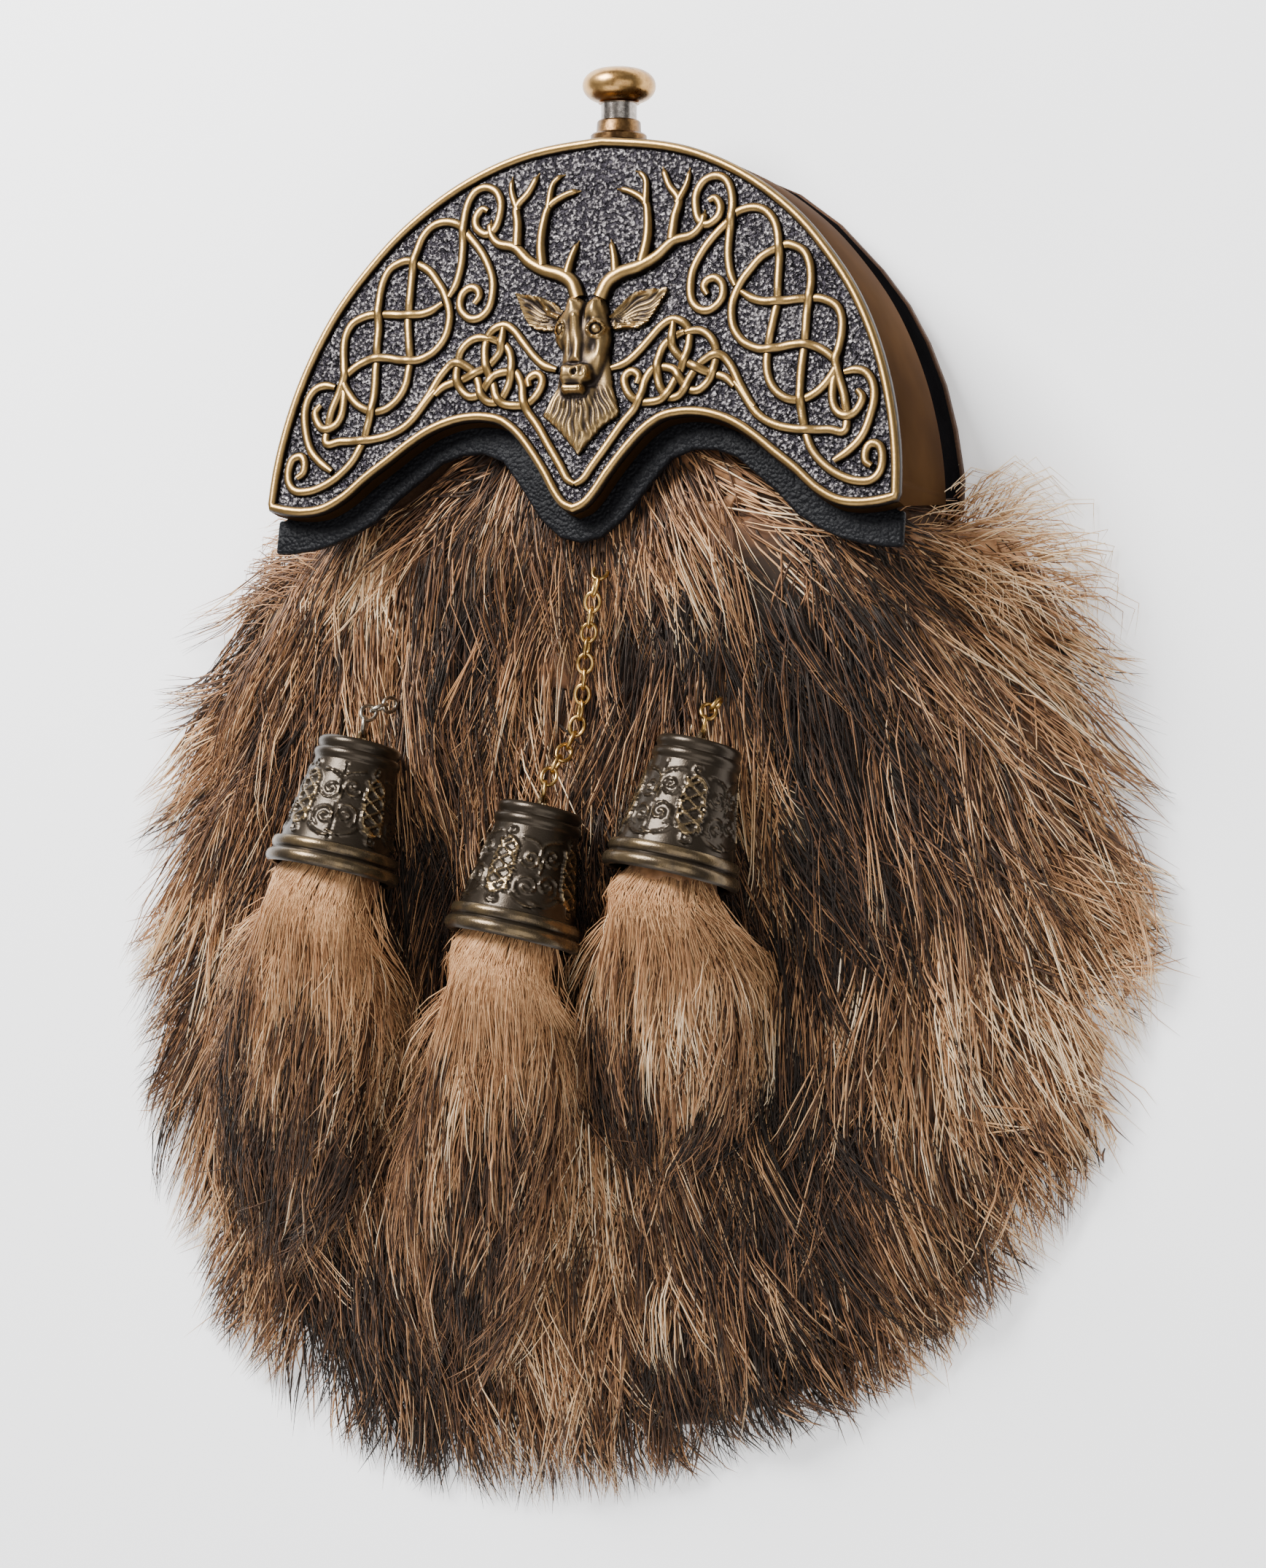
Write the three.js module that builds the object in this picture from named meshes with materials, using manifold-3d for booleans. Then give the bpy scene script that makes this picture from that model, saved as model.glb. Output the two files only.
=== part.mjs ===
// A full-dress sporran: a hair-covered leather pouch closed by an arched cast metal cantle.
// It lies on its back. Millimetres, +Z up from the surface it lies on, +Y towards the knob.
// While it is built, x = 0 is the line of symmetry and y = 0 the level of the cantle's corners.
import * as THREE from 'three';
import { mergeVertices } from 'three/addons/utils/BufferGeometryUtils.js';
import Module from 'manifold-3d';

const wasm = await Module();
wasm.setup();

// Cantle
const cantleWidth = 149.4;
const cantleRise = 85;
const cantleLean = 11;
const cornerHeight = 59;
const rimRear = 24;
const rimWall = 1.8;
const plateThickness = 2;
const lipDepth = 4.4;
const beadWidth = 2.2;
const beadHeight = 1.3;
const strandWidth = 2;
const strandHeight = 1.1;
const reliefRoot = 0.4;
const antlerHeight = 1.9;
const headHeight = 5;

// Leather
const leatherThickness = 2;
const panelThickness = 2.5;
const frameWall = 3;
const frameInset = 0.4;
const trimTuck = 6;
const pouchLength = 172;
const pouchWidth = 154;
const pouchDepth = 36;

// Hair
const skinThickness = 2;
const hairWidth = 238;
const hairLength = 222;
const hairDepth = 7;
const hairFloor = 1.2;
const lockLength = 62;
const lockWidth = 33;
const lockThickness = 8;
const tailLockWidth = 18;
const tailLockThickness = 14;

// Knob
const knobDiameter = 16.6;
const knobHeight = 8;
const stemDiameter = 8.1;
const collarDiameter = 12.7;
const collarHeight = 5;
const stemTravel = 3;
const stemSpare = 0.8;
const retainerDiameter = 10;
const retainerThickness = 1.6;

// Tassels
const coneLength = 30.5;
const coneTopDiameter = 19;
const coneMouthDiameter = 30.6;
const coneWall = 1.3;
const eyeletDiameter = 4.4;
const eyeletWire = 1;
const linkLength = 5.3;
const linkWidth = 4.2;
const linkWire = 0.9;
const linkBite = 0.3;

// Waist strap loops
const loopWidth = 20;
const loopLength = 44;
const loopGap = 4.6;
const loopThickness = 2;
const loopSpacing = 74;

const clearance = 0.3;
const seatHeight = loopThickness + loopGap + clearance;

// Places on the cantle are percentages of its half width and of its rise
const place = ([across, up]) => new THREE.Vector2(
  across / 100 * cantleWidth / 2,
  up / 100 * cantleRise,
);
const mirrored = (points) => points.map(([across, up]) => [-across, up]);

const archEdge = [
  [0, 100], [13.4, 98.9], [26.8, 96.9], [46.9, 88.9], [60.2, 80], [73.6, 67.3], [82, 57.5],
  [88.4, 47.1], [93.7, 35.3], [97.1, 23.5], [99.6, 10], [99.2, 1.3],
];
const lowerEdge = [
  [93.7, -0.9], [87, -1.5], [80.3, -0.5], [73.6, 2.9], [60.2, 12.4], [46.9, 20.8], [36, 23.4],
  [26.8, 22.8], [20.1, 19], [13.4, 12], [6.7, 2.9], [3.3, -0.5], [0, -1.7],
];
const trimEdge = [
  [99.1, -10], [93.7, -9.9], [87, -9.1], [80.3, -7.6], [73.6, -4.9], [66.9, -1.4], [60.2, 4.5],
  [46.9, 14.1], [40.2, 16.2], [33.5, 16.5], [26.8, 14.2], [20.1, 6.8], [13.4, -1.4], [6.7, -6.4],
  [0, -7.9],
];

// Centre lines of the interlaced strands on the right half
const strands = {
  upperLoop: [
    [45.5, 57.6], [41.8, 83.9], [36.8, 87.6], [31.6, 84.1], [31.9, 77.2], [35.6, 74.6], [39, 79.4],
    [35.2, 80.9],
  ],
  teardrop: [
    [37.1, 55.5], [36.5, 59.4], [41.5, 58], [38.6, 51.6], [32.4, 53.9], [34, 66.6], [44.2, 77.5],
    [52.9, 77.6], [58.4, 65.9], [56.8, 39.4], [59.6, 30], [68.3, 27.1], [73, 28.9], [78.3, 36.2],
  ],
  sideLobe: [
    [47.5, 56], [76.7, 51.4], [82.1, 18.6], [61.8, 20.1], [47.4, 32],
  ],
  longLoop: [
    [84.9, 28.9], [85.9, 24.9], [81.4, 22.2], [77.5, 27.2], [78.3, 35.8], [75.6, 38.5], [68, 41.4],
    [51.5, 41.4], [45.8, 46.6], [45.2, 54.4], [52.5, 64.8], [59.7, 68.2], [65.9, 66.1], [68.5, 58.9],
    [67.7, 28], [70, 18.6], [81.4, 6.8], [90.6, 5.4], [93.2, 7.6], [92.6, 14.2], [90.1, 14.9],
    [88.6, 13.2], [88.8, 10.4], [90.6, 9.1],
  ],
  crescent: [
    [80.6, 33.8], [87, 33.5], [90.1, 26.7], [87, 16.7], [79.3, 10.6],
  ],
  neckStrand: [
    [8.7, 36.7], [26.2, 49.3], [29.3, 48.8], [32.1, 40.7], [27.3, 29.9], [18.1, 27.6], [13.1, 32.6],
    [15.4, 35.8], [17, 32.4],
  ],
  innerLong: [
    [27, 48.6], [29.3, 39.8], [47.4, 30.8],
  ],
  oval: [
    [30.9, 45.6], [23.4, 39.4], [26.8, 28.7], [29.9, 28.6], [35.5, 36.7], [40.7, 39.4], [54.1, 25.3],
  ],
  vStrand: [
    [30.9, 45.6], [35.1, 46.1], [40.4, 42.1], [38.6, 31.6], [32.9, 30.8], [28.4, 35.8], [21.7, 36.2],
    [17, 25.8], [0, 5.9],
  ],
};

// Centre lines of the right antler
const antler = {
  beam: [
    [3.5, 55.6], [9.6, 62.4], [30.8, 71.8], [34.1, 78.6],
  ],
  brow: [
    [7.9, 61.8], [5.1, 71.8],
  ],
  innerTine: [
    [15.8, 64.9], [15.1, 81.5], [5.8, 85.5],
  ],
  innerFork: [
    [15.5, 80.6], [15, 86.9], [11.2, 90.2],
  ],
  outerTine: [
    [24.6, 70.8], [25.8, 81.5], [19.7, 90.9],
  ],
  outerFork: [
    [25.4, 80.6], [28.4, 90.4],
  ],
};

// Stag's head in low relief: each row is a section across it, from the neck's tip to the crown
const headSections = [
  { up: 13.4, centre: 0, half: 0.5, high: 0.2 },
  { up: 23.5, centre: 0, half: 12.4, high: 0.34 },
  { up: 28.8, centre: -0.8, half: 9.4, high: 0.46 },
  { up: 33, centre: -1.6, half: 6.2, high: 0.78 },
  { up: 37, centre: -1.5, half: 6.4, high: 1 },
  { up: 42, centre: -0.6, half: 7.4, high: 0.8 },
  { up: 47, centre: 0, half: 8.6, high: 0.7 },
  { up: 52.5, centre: 0, half: 6.8, high: 0.56 },
  { up: 56.2, centre: 0, half: 4.2, high: 0.36 },
];
const ear = [[7, 51.5], [12, 56.5], [24.5, 58.4], [21.5, 51], [17.5, 47.3], [8.5, 47.5]];

// The pouch, from its mouth inside the cantle to its foot; half and crown are shares of its
// half width and depth, and sag how far its back has sunk to the surface it lies on
const pouchSections = [
  { down: -0.1, half: 0.894, crown: 1, sag: 0 },
  { down: 0.05, half: 0.91, crown: 1, sag: 0 },
  { down: 0.15, half: 0.955, crown: 0.97, sag: 0 },
  { down: 0.35, half: 1, crown: 0.81, sag: 0 },
  { down: 0.58, half: 0.96, crown: 0.86, sag: 0.8 },
  { down: 0.78, half: 0.8, crown: 0.76, sag: 1 },
  { down: 0.92, half: 0.54, crown: 0.52, sag: 1 },
  { down: 1, half: 0.2, crown: 0.2, sag: 1 },
];

// The hair's outer form, from the cantle's corners to its foot
const hairSections = [
  { down: -0.08, centre: -0.01, half: 0.6, crown: 1 },
  { down: 0, centre: -0.02, half: 0.78, crown: 1 },
  { down: 0.1, centre: -0.03, half: 0.9, crown: 0.95 },
  { down: 0.22, centre: -0.04, half: 0.97, crown: 0.86 },
  { down: 0.4, centre: -0.05, half: 1, crown: 0.84 },
  { down: 0.6, centre: -0.08, half: 0.97, crown: 0.8 },
  { down: 0.75, centre: -0.12, half: 0.85, crown: 0.62 },
  { down: 0.87, centre: -0.17, half: 0.66, crown: 0.42 },
  { down: 0.95, centre: -0.21, half: 0.4, crown: 0.24 },
  { down: 1, centre: -0.23, half: 0.12, crown: 0.12 },
];

// Tassels: where each cone's top and mouth lie, and where its hair ends, as shares of the
// cantle's half width across and of the pouch's length down
const tassels = [
  {
    side: 'left', top: [-0.72, 0.303], mouth: [-0.78, 0.474], tip: [-1.33, 1.02],
    spread: 0.27, chain: [[-0.67, 0.25]],
  },
  {
    side: 'middle', top: [-0.12, 0.385], mouth: [-0.18, 0.547], tip: [-0.6, 1.16],
    spread: 0.2, chain: [[0.05, 0.058], [0.03, 0.1], [-0.02, 0.19], [-0.06, 0.28]],
  },
  {
    side: 'right', top: [0.38, 0.3], mouth: [0.316, 0.467], tip: [0.14, 0.86],
    spread: 0.2, chain: [[0.41, 0.247]],
  },
];

const lean = THREE.MathUtils.degToRad(cantleLean);
const faceFrame = new THREE.Matrix4().makeRotationX(-lean).setPosition(0, 0, cornerHeight);

// Solids are joined and cut as closed manifolds
function solid(geometry) {
  const bare = new THREE.BufferGeometry();
  bare.setAttribute('position', geometry.attributes.position.clone());
  if (geometry.index) bare.setIndex(geometry.index.clone());
  const merged = mergeVertices(bare, 1e-4);
  const position = merged.attributes.position;
  const index = merged.index.array;
  const corner = [new THREE.Vector3(), new THREE.Vector3(), new THREE.Vector3()];
  const faces = [];
  let volume = 0;
  for (let i = 0; i < index.length; i += 3) {
    const [a, b, c] = [index[i], index[i + 1], index[i + 2]];
    if (a === b || b === c || c === a) continue;
    [a, b, c].forEach((vertex, k) => corner[k].fromBufferAttribute(position, vertex));
    volume += corner[0].dot(corner[1].clone().cross(corner[2]));
    faces.push(a, b, c);
  }
  if (volume < 0) faces.reverse();
  return new wasm.Manifold(new wasm.Mesh({
    numProp: 3,
    vertProperties: Float32Array.from(position.array),
    triVerts: Uint32Array.from(faces),
  }));
}

function union(solids) {
  return solids.reduce((whole, next) => whole.add(next));
}

// A closed skin over rings of points, all with the same number of points; it has two ends,
// or runs round to where it began
function loft(rings, runsRound = false) {
  const count = rings[0].length;
  const last = (rings.length - 1) * count;
  const faces = [];
  for (let r = 0; r < rings.length - (runsRound ? 0 : 1); r += 1) {
    for (let i = 0; i < count; i += 1) {
      const [a, b] = [r * count + i, r * count + (i + 1) % count];
      const [c, d] = [a, b].map((vertex) => (vertex + count) % (rings.length * count));
      faces.push(a, b, d, a, d, c);
    }
  }
  for (let i = 1; i < count - 1 && !runsRound; i += 1) {
    faces.push(0, i + 1, i, last, last + i, last + i + 1);
  }
  const geometry = new THREE.BufferGeometry().setFromPoints(rings.flat());
  geometry.setIndex(faces);
  return geometry;
}

// Value of a table's column at a place between its rows
function between(rows, key, column, at) {
  const next = rows.findIndex((row) => row[key] >= at);
  if (next < 0) return rows[rows.length - 1][column];
  if (next === 0) return rows[0][column];
  const [low, high] = [rows[next - 1], rows[next]];
  const share = (at - low[key]) / (high[key] - low[key]);
  return THREE.MathUtils.lerp(low[column], high[column], share);
}

// Height of a plane that lies a depth below the leaning face
function underFace(y, depth) {
  return cornerHeight - y * Math.tan(lean) - depth / Math.cos(lean);
}

// Outlines, as closed lists of points with the left half mirrored from the right
function wholeOutline(edge) {
  const right = edge.map(place);
  const left = edge.map(([across, up]) => place([-across, up])).reverse();
  return [...right, ...left].filter((point, i, all) => (
    point.distanceTo(all[(i + 1) % all.length]) > 0.01));
}

function inset(outline, distance) {
  return outline.map((point, i) => {
    const before = outline[(i + outline.length - 1) % outline.length];
    const after = outline[(i + 1) % outline.length];
    const a = point.clone().sub(before).normalize();
    const b = after.clone().sub(point).normalize();
    const normal = new THREE.Vector2(a.y + b.y, -a.x - b.x).normalize();
    const miter = Math.max(0.5, normal.x * a.y - normal.y * a.x);
    return point.clone().add(normal.multiplyScalar(-turn(outline) * distance / miter));
  });
}

// 1 for a list that runs anticlockwise, -1 for clockwise
function turn(outline) {
  return Math.sign(THREE.ShapeUtils.area(outline));
}

function slab(outline, low, high) {
  const geometry = new THREE.ExtrudeGeometry(new THREE.Shape(outline), {
    depth: high - low,
    bevelEnabled: false,
  });
  return geometry.translate(0, 0, low);
}

function onFace(geometry) {
  return solid(geometry.applyMatrix4(faceFrame));
}

// A raised ridge that follows points on the face
function ridge(points, width, height, taper = 1) {
  const last = points.length - 1;
  const rings = points.map((point, i) => {
    const before = points[i - 1];
    const after = points[i + 1];
    const a = before ? point.clone().sub(before).normalize() : after.clone().sub(point).normalize();
    const b = after ? after.clone().sub(point).normalize() : a;
    const side = new THREE.Vector2(-a.y - b.y, a.x + b.x).normalize();
    const miter = Math.max(0.6, side.x * -a.y + side.y * a.x);
    const share = THREE.MathUtils.lerp(1, taper, i / last);
    const half = width / 2 * share;
    return [[-1, -reliefRoot], [0, height * share], [1, -reliefRoot]]
      .map(([across, up]) => new THREE.Vector3(
        point.x + side.x * across * half / miter,
        point.y + side.y * across * half / miter,
        up,
      ));
  });
  return loft(rings);
}

function bothSides(points, make) {
  return [make(points.map(place)), make(mirrored(points).map(place))];
}

const material = (color, metalness, roughness) => new THREE.MeshStandardMaterial({
  color,
  metalness,
  roughness,
});
const antiqueBrass = material('#a07c4a', 1, 0.38);
const darkBrass = material('#4a3d2c', 1, 0.35);
const polishedBrass = material('#c4bda8', 1, 0.25);
const chainBrass = material('#a8874f', 1, 0.35);
const blackLeather = material('#1c1c20', 0, 0.6);
const trimLeather = material('#2a2c32', 0, 0.5);
const brownLeather = material('#4a3526', 0, 0.7);
const hair = material('#7c5f4a', 0, 0.9);
const tasselHair = material('#9c7554', 0, 0.9);

const sporran = new THREE.Group();

function piece(name, whole, finish, parent = sporran) {
  const data = whole.getMesh();
  const geometry = new THREE.BufferGeometry();
  geometry.setAttribute('position', new THREE.BufferAttribute(data.vertProperties, 3));
  geometry.setIndex(new THREE.BufferAttribute(data.triVerts, 1));
  geometry.computeVertexNormals();
  const mesh = new THREE.Mesh(geometry, finish);
  mesh.name = name;
  parent.add(mesh);
  return mesh;
}

// Cantle: a leaning face plate with a lip all round, and a rim down to the back frame
const cantleOutline = wholeOutline([...archEdge, ...lowerEdge]);
const archOutline = wholeOutline(archEdge);
const flattened = (outline) => outline.map(({ x, y }) => new THREE.Vector2(x, y * Math.cos(lean)));
const archBottom = place(archEdge[archEdge.length - 1]).y;

function archBand(outerInset, wall, low, high) {
  const outer = solid(slab(flattened(inset(archOutline, outerInset)), low, high));
  const inner = inset(archOutline, outerInset + wall);
  const corners = Math.min(...inner.map(({ y }) => y)) + wall / 2;
  const opening = inner.map(({ x, y }) => new THREE.Vector2(x, y < corners ? archBottom - wall : y));
  return outer.subtract(solid(slab(flattened(opening), low - 1, high + 1)));
}

const stemRadius = stemDiameter / 2;
const boreRadius = stemRadius + clearance;
const apexY = cantleRise * Math.cos(lean);
const knobHeightOnRim = (rimRear + underFace(apexY, 0)) / 2;

function alongY(geometry, y) {
  return geometry.translate(0, y, knobHeightOnRim);
}

function cantleSolid() {
  const border = onFace(borderFrame());
  const plate = onFace(slab(inset(cantleOutline, 0.6 * beadWidth), -plateThickness, 0));
  const rim = archBand(0, rimWall, rimRear, cornerHeight)
    .subtract(onFace(new THREE.BoxGeometry(2 * cantleWidth, 4 * cantleRise, 2 * cornerHeight)
      .translate(0, 0, cornerHeight - lipDepth / 2)));
  const bore = solid(alongY(new THREE.CylinderGeometry(boreRadius, boreRadius, 8 * rimWall, 16), apexY));
  const relief = [
    ...Object.values(strands).flatMap((line) => (
      bothSides(line, (points) => ridge(points, strandWidth, strandHeight)))),
    ...bothSides(antler.beam, (points) => ridge(points, 1.6 * strandWidth, antlerHeight, 0.3)),
    ...[antler.brow, antler.innerTine, antler.innerFork, antler.outerTine, antler.outerFork]
      .flatMap((line) => bothSides(line, (points) => (
        ridge(points, 1.1 * strandWidth, 0.75 * antlerHeight, 0.3)))),
    ...bothSides(ear, (points) => slab(points, -reliefRoot, antlerHeight)),
    headRelief(),
  ].map(onFace);
  return union([border, plate, rim, ...relief]).subtract(bore);
}

// The lip all round the plate, with the border bead on it
function borderFrame() {
  const section = [[0, -lipDepth], [0, 0], [0.5, beadHeight], [1, -reliefRoot], [1, -lipDepth]]
    .map(([share, z]) => ({ line: inset(cantleOutline, share * beadWidth), z }));
  const rings = cantleOutline.map((_, i) => section.map(({ line, z }) => (
    new THREE.Vector3(line[i].x, line[i].y, z))));
  return loft(rings, true);
}

function headRelief() {
  const across = [-1, -0.75, -0.3, 0.3, 0.75, 1];
  const rise = [0, 0.7, 1, 1, 0.7, 0];
  return loft(headSections.map((row) => across.map((side, i) => {
    const spot = place([row.centre + side * row.half, row.up]);
    return new THREE.Vector3(spot.x, spot.y, -reliefRoot + row.high * rise[i] * headHeight);
  })));
}

piece('cantle', cantleSolid(), antiqueBrass);

// Back frame: a leather-covered band that carries on the rim's line to the back
const panelTop = seatHeight + panelThickness;
piece(
  'back_frame',
  archBand(frameInset, frameWall, panelTop + clearance, rimRear - clearance),
  blackLeather,
);

// Leather trim under the cantle's lower border
const trimTop = -lipDepth - clearance;
const trimBottom = trimTop - leatherThickness;

function trimOutline() {
  const low = trimEdge.map(place);
  const sideTop = new THREE.Vector2(low[0].x, archBottom - rimWall);
  const tucked = inset(cantleOutline, rimWall + 2 * clearance)
    .slice(archEdge.length, archEdge.length + lowerEdge.length - 1)
    .map(({ x, y }) => new THREE.Vector2(x, y + trimTuck));
  const inner = new THREE.Vector2(low[0].x - rimWall, sideTop.y);
  const right = [...low.slice(0, -1).reverse(), sideTop, inner, ...tucked];
  const left = right.map(({ x, y }) => new THREE.Vector2(-x, y)).reverse();
  const foot = low[low.length - 1];
  return [foot, ...right, ...left];
}

piece('leather_trim', onFace(slab(trimOutline(), trimBottom, trimTop)), trimLeather);

// The back sags from the strap loops down to the surface that the pouch lies on
const backHeight = (y) => panelTop - seatHeight * between(pouchSections, 'down', 'sag', -y / pouchLength);

// A point of the pouch's outer leather, or of a layer over it; side runs from -1 to 1
const slot = linkWire + 4 * clearance;
const skinTop = -trimBottom + slot;
const pouchTop = skinTop + skinThickness + clearance;
const tuckedIn = (down) => down < 0.06;

function bagPoint(row, side, grow, foot) {
  const y = -row.down * pouchLength - (row === pouchSections.at(-1) ? grow : 0);
  const base = backHeight(y) + clearance;
  const crown = tuckedIn(row.down)
    ? underFace(y, pouchTop) + grow
    : backHeight(y) + row.crown * pouchDepth + grow;
  const bulge = Math.abs(side) ** 3;
  const x = Math.sign(side) * (row.half * pouchWidth / 2 + grow) * Math.min(1, Math.abs(side) * 1.12);
  const z = Math.abs(side) === 1 ? foot : base + (crown - base) * Math.sqrt(1 - bulge);
  return new THREE.Vector3(x, y, z ?? base);
}

const sides = [-1, -0.97, -0.88, -0.7, -0.4, 0, 0.4, 0.7, 0.88, 0.97, 1];

function bag(rows, grow, foot) {
  return loft(rows.map((row) => sides.map((side) => bagPoint(row, side, grow, foot))));
}

function pouchSolid() {
  const outer = solid(bag(pouchSections, 0));
  const mouth = { ...pouchSections[0], down: pouchSections[0].down - 0.03 };
  const hollow = [mouth, ...pouchSections.slice(1)];
  return outer.subtract(solid(bag(hollow, -leatherThickness, -panelThickness)));
}

piece('pouch_body', pouchSolid(), brownLeather);

// Back panel: one leather sheet behind the pouch and the back frame
function panelOutline() {
  const low = pouchSections.filter((row) => row.down > 0)
    .map((row) => new THREE.Vector2(row.half * pouchWidth / 2, -row.down * pouchLength));
  const right = [...flattened(archEdge.map(place)), ...low];
  const left = right.slice(1).map(({ x, y }) => new THREE.Vector2(-x, y)).reverse();
  return [...right, ...left];
}

function panelSolid() {
  const outline = solid(slab(panelOutline(), -1, panelTop + 1));
  const stations = [-cantleRise, ...pouchSections.map((row) => row.down * pouchLength)];
  const rings = stations.map((down) => {
    const high = backHeight(-down);
    return [[-1, high - panelThickness], [1, high - panelThickness], [1, high], [-1, high]]
      .map(([side, z]) => new THREE.Vector3(side * cantleWidth, -down, z));
  });
  return solid(loft(rings)).intersect(outline);
}

piece('back_panel', panelSolid(), brownLeather);

// Hair: a skin over the pouch that carries locks, combed down and fanning out to both sides
const hairRow = (y) => ({
  centre: between(hairSections, 'down', 'centre', -y / hairLength) * hairWidth / 2,
  half: between(hairSections, 'down', 'half', -y / hairLength) * hairWidth / 2,
  crown: between(hairSections, 'down', 'crown', -y / hairLength) * (pouchDepth + hairDepth),
});

// Height of the hair's outer form
function hairTop(x, y) {
  const row = hairRow(y);
  const share = Math.min(1, Math.abs((x - row.centre) / row.half));
  const crown = Math.min(backHeight(y) + row.crown, underFace(y, skinTop));
  return 3 * hairFloor + (crown - 3 * hairFloor) * (1 - share ** 3.2);
}

function skinSolid() {
  const whole = solid(bag(pouchSections, clearance + skinThickness));
  const underRim = new THREE.BoxGeometry(2 * cantleWidth, cantleWidth, 2 * rimRear)
    .translate(0, cantleWidth / 2 + archBottom - 2 * rimWall, rimRear - leatherThickness);
  return whole.subtract(solid(underRim));
}

function pouchSpace() {
  const mouth = { ...pouchSections[0], down: pouchSections[0].down - 0.03 };
  return solid(bag([mouth, ...pouchSections.slice(1)], clearance, -panelThickness));
}

// The mass of the hair, from beside the cantle's corners to its foot
function mantleSolid() {
  const across = [-1, -0.86, -0.6, -0.2, 0.2, 0.6, 0.86, 1];
  const rings = mantleRows.map((share) => {
    const y = -share * hairLength;
    const row = hairRow(y);
    const top = across.map((side) => {
      const x = row.centre + side * mantleReach * row.half;
      return new THREE.Vector3(x, y, Math.max(2 * hairFloor, hairTop(x, y) - lockRaise));
    });
    return [...top, new THREE.Vector3(top.at(-1).x, y, hairFloor), new THREE.Vector3(top[0].x, y, hairFloor)];
  });
  return solid(loft(rings));
}

// A lock, from its root to its tip
const lockStations = [
  { along: 0, wide: 0.3, thick: 0.9 }, { along: 0.35, wide: 0.5, thick: 1 },
  { along: 0.72, wide: 0.38, thick: 0.6 }, { along: 1, wide: 0.05, thick: 0.15 },
];

function lock(x, y, heading, size) {
  const flow = new THREE.Vector2(Math.sin(heading), -Math.cos(heading));
  const rings = lockStations.map(({ along, wide, thick }) => {
    const px = x + flow.x * along * lockLength * size;
    const py = y + flow.y * along * lockLength * size;
    const half = wide * lockWidth * size;
    return [[-1, 0.6], [0, 0], [1, 0.6], [0, 1.2]].map(([side, deep]) => {
      const sx = px - flow.y * side * half;
      const sy = py + flow.x * side * half;
      const high = hairTop(sx, sy);
      return new THREE.Vector3(sx, sy, Math.max(hairFloor, high - deep * thick * lockThickness));
    });
  });
  return loft(rings);
}

const mantleRows = [0.012, 0.1, 0.22, 0.4, 0.6, 0.75, 0.87, 0.95];
const mantleReach = 0.93;
const lockRaise = 3.5;
const lockRows = [
  { down: 0.06, count: 4, reach: 0.7, size: 0.95 },
  { down: 0.27, count: 5, reach: 0.76, size: 1 },
  { down: 0.48, count: 6, reach: 0.76, size: 1 },
  { down: 0.71, count: 5, reach: 0.62, size: 0.95 },
];

function furSolid() {
  const locks = lockRows.flatMap(({ down, count, reach, size }) => {
    const y = -down * hairLength;
    const row = hairRow(y);
    return Array.from({ length: count }, (_, i) => {
      const side = count > 1 ? (2 * i / (count - 1) - 1) : 0;
      const x = row.centre + side * reach * row.half;
      const heading = side * 0.7 - 0.06;
      return solid(lock(x, y, heading, size));
    });
  });
  const panelSpace = solid(slab(inset(panelOutline(), -clearance), -1, panelTop + clearance));
  return union([skinSolid(), mantleSolid(), ...locks]).subtract(pouchSpace()).subtract(panelSpace);
}

piece('fur_front', furSolid(), hair);

// Knob, with its stem through the collar and the rim and a plain retainer inside
function turned(profile, segments) {
  return new THREE.LatheGeometry(profile.map(([r, y]) => new THREE.Vector2(r, y)), segments);
}

const collarRadius = collarDiameter / 2;
const collarBase = apexY + clearance;
const collar = turned([
  [boreRadius, 0], [collarRadius, 0], [collarRadius, 0.3 * collarHeight],
  [0.84 * collarRadius, 0.5 * collarHeight], [0.78 * collarRadius, collarHeight],
  [boreRadius, collarHeight], [boreRadius, 0],
], 16);
piece('knob_collar', solid(alongY(collar, collarBase)), antiqueBrass);

function knobSolid() {
  const radius = knobDiameter / 2;
  const under = collarBase + collarHeight + stemTravel + stemSpare;
  const head = [[0, 0]];
  for (let i = 0; i <= 6; i += 1) {
    const angle = Math.PI * (i / 6 - 0.5);
    const flare = Math.cos(angle) ** 0.8;
    head.push([
      Math.max(i === 6 ? 0 : stemRadius, radius * flare),
      knobHeight / 2 * (1 + Math.sin(angle)),
    ]);
  }
  const inside = apexY - rimWall - 3 * clearance;
  const stem = new THREE.CylinderGeometry(stemRadius, stemRadius, under - inside + 1, 16);
  const retainer = new THREE.CylinderGeometry(
    retainerDiameter / 2,
    retainerDiameter / 2,
    retainerThickness,
    16,
  );
  return union([
    solid(alongY(turned(head, 16), under)),
    solid(alongY(stem, (under + inside + 1) / 2)),
    solid(alongY(retainer, inside - retainerThickness / 2)),
  ]);
}

piece('knob', knobSolid(), polishedBrass);

// Tassels: a chain, a cast bell and its hair lie on the pouch's hair
const topRadius = coneTopDiameter / 2;
const mouthRadius = coneMouthDiameter / 2;
const eyeletCentre = eyeletDiameter / 4;
const onHair = ([across, down]) => new THREE.Vector2(across * cantleWidth / 2, -down * pouchLength);
const down = new THREE.Vector3(0, -1, 0);

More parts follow.
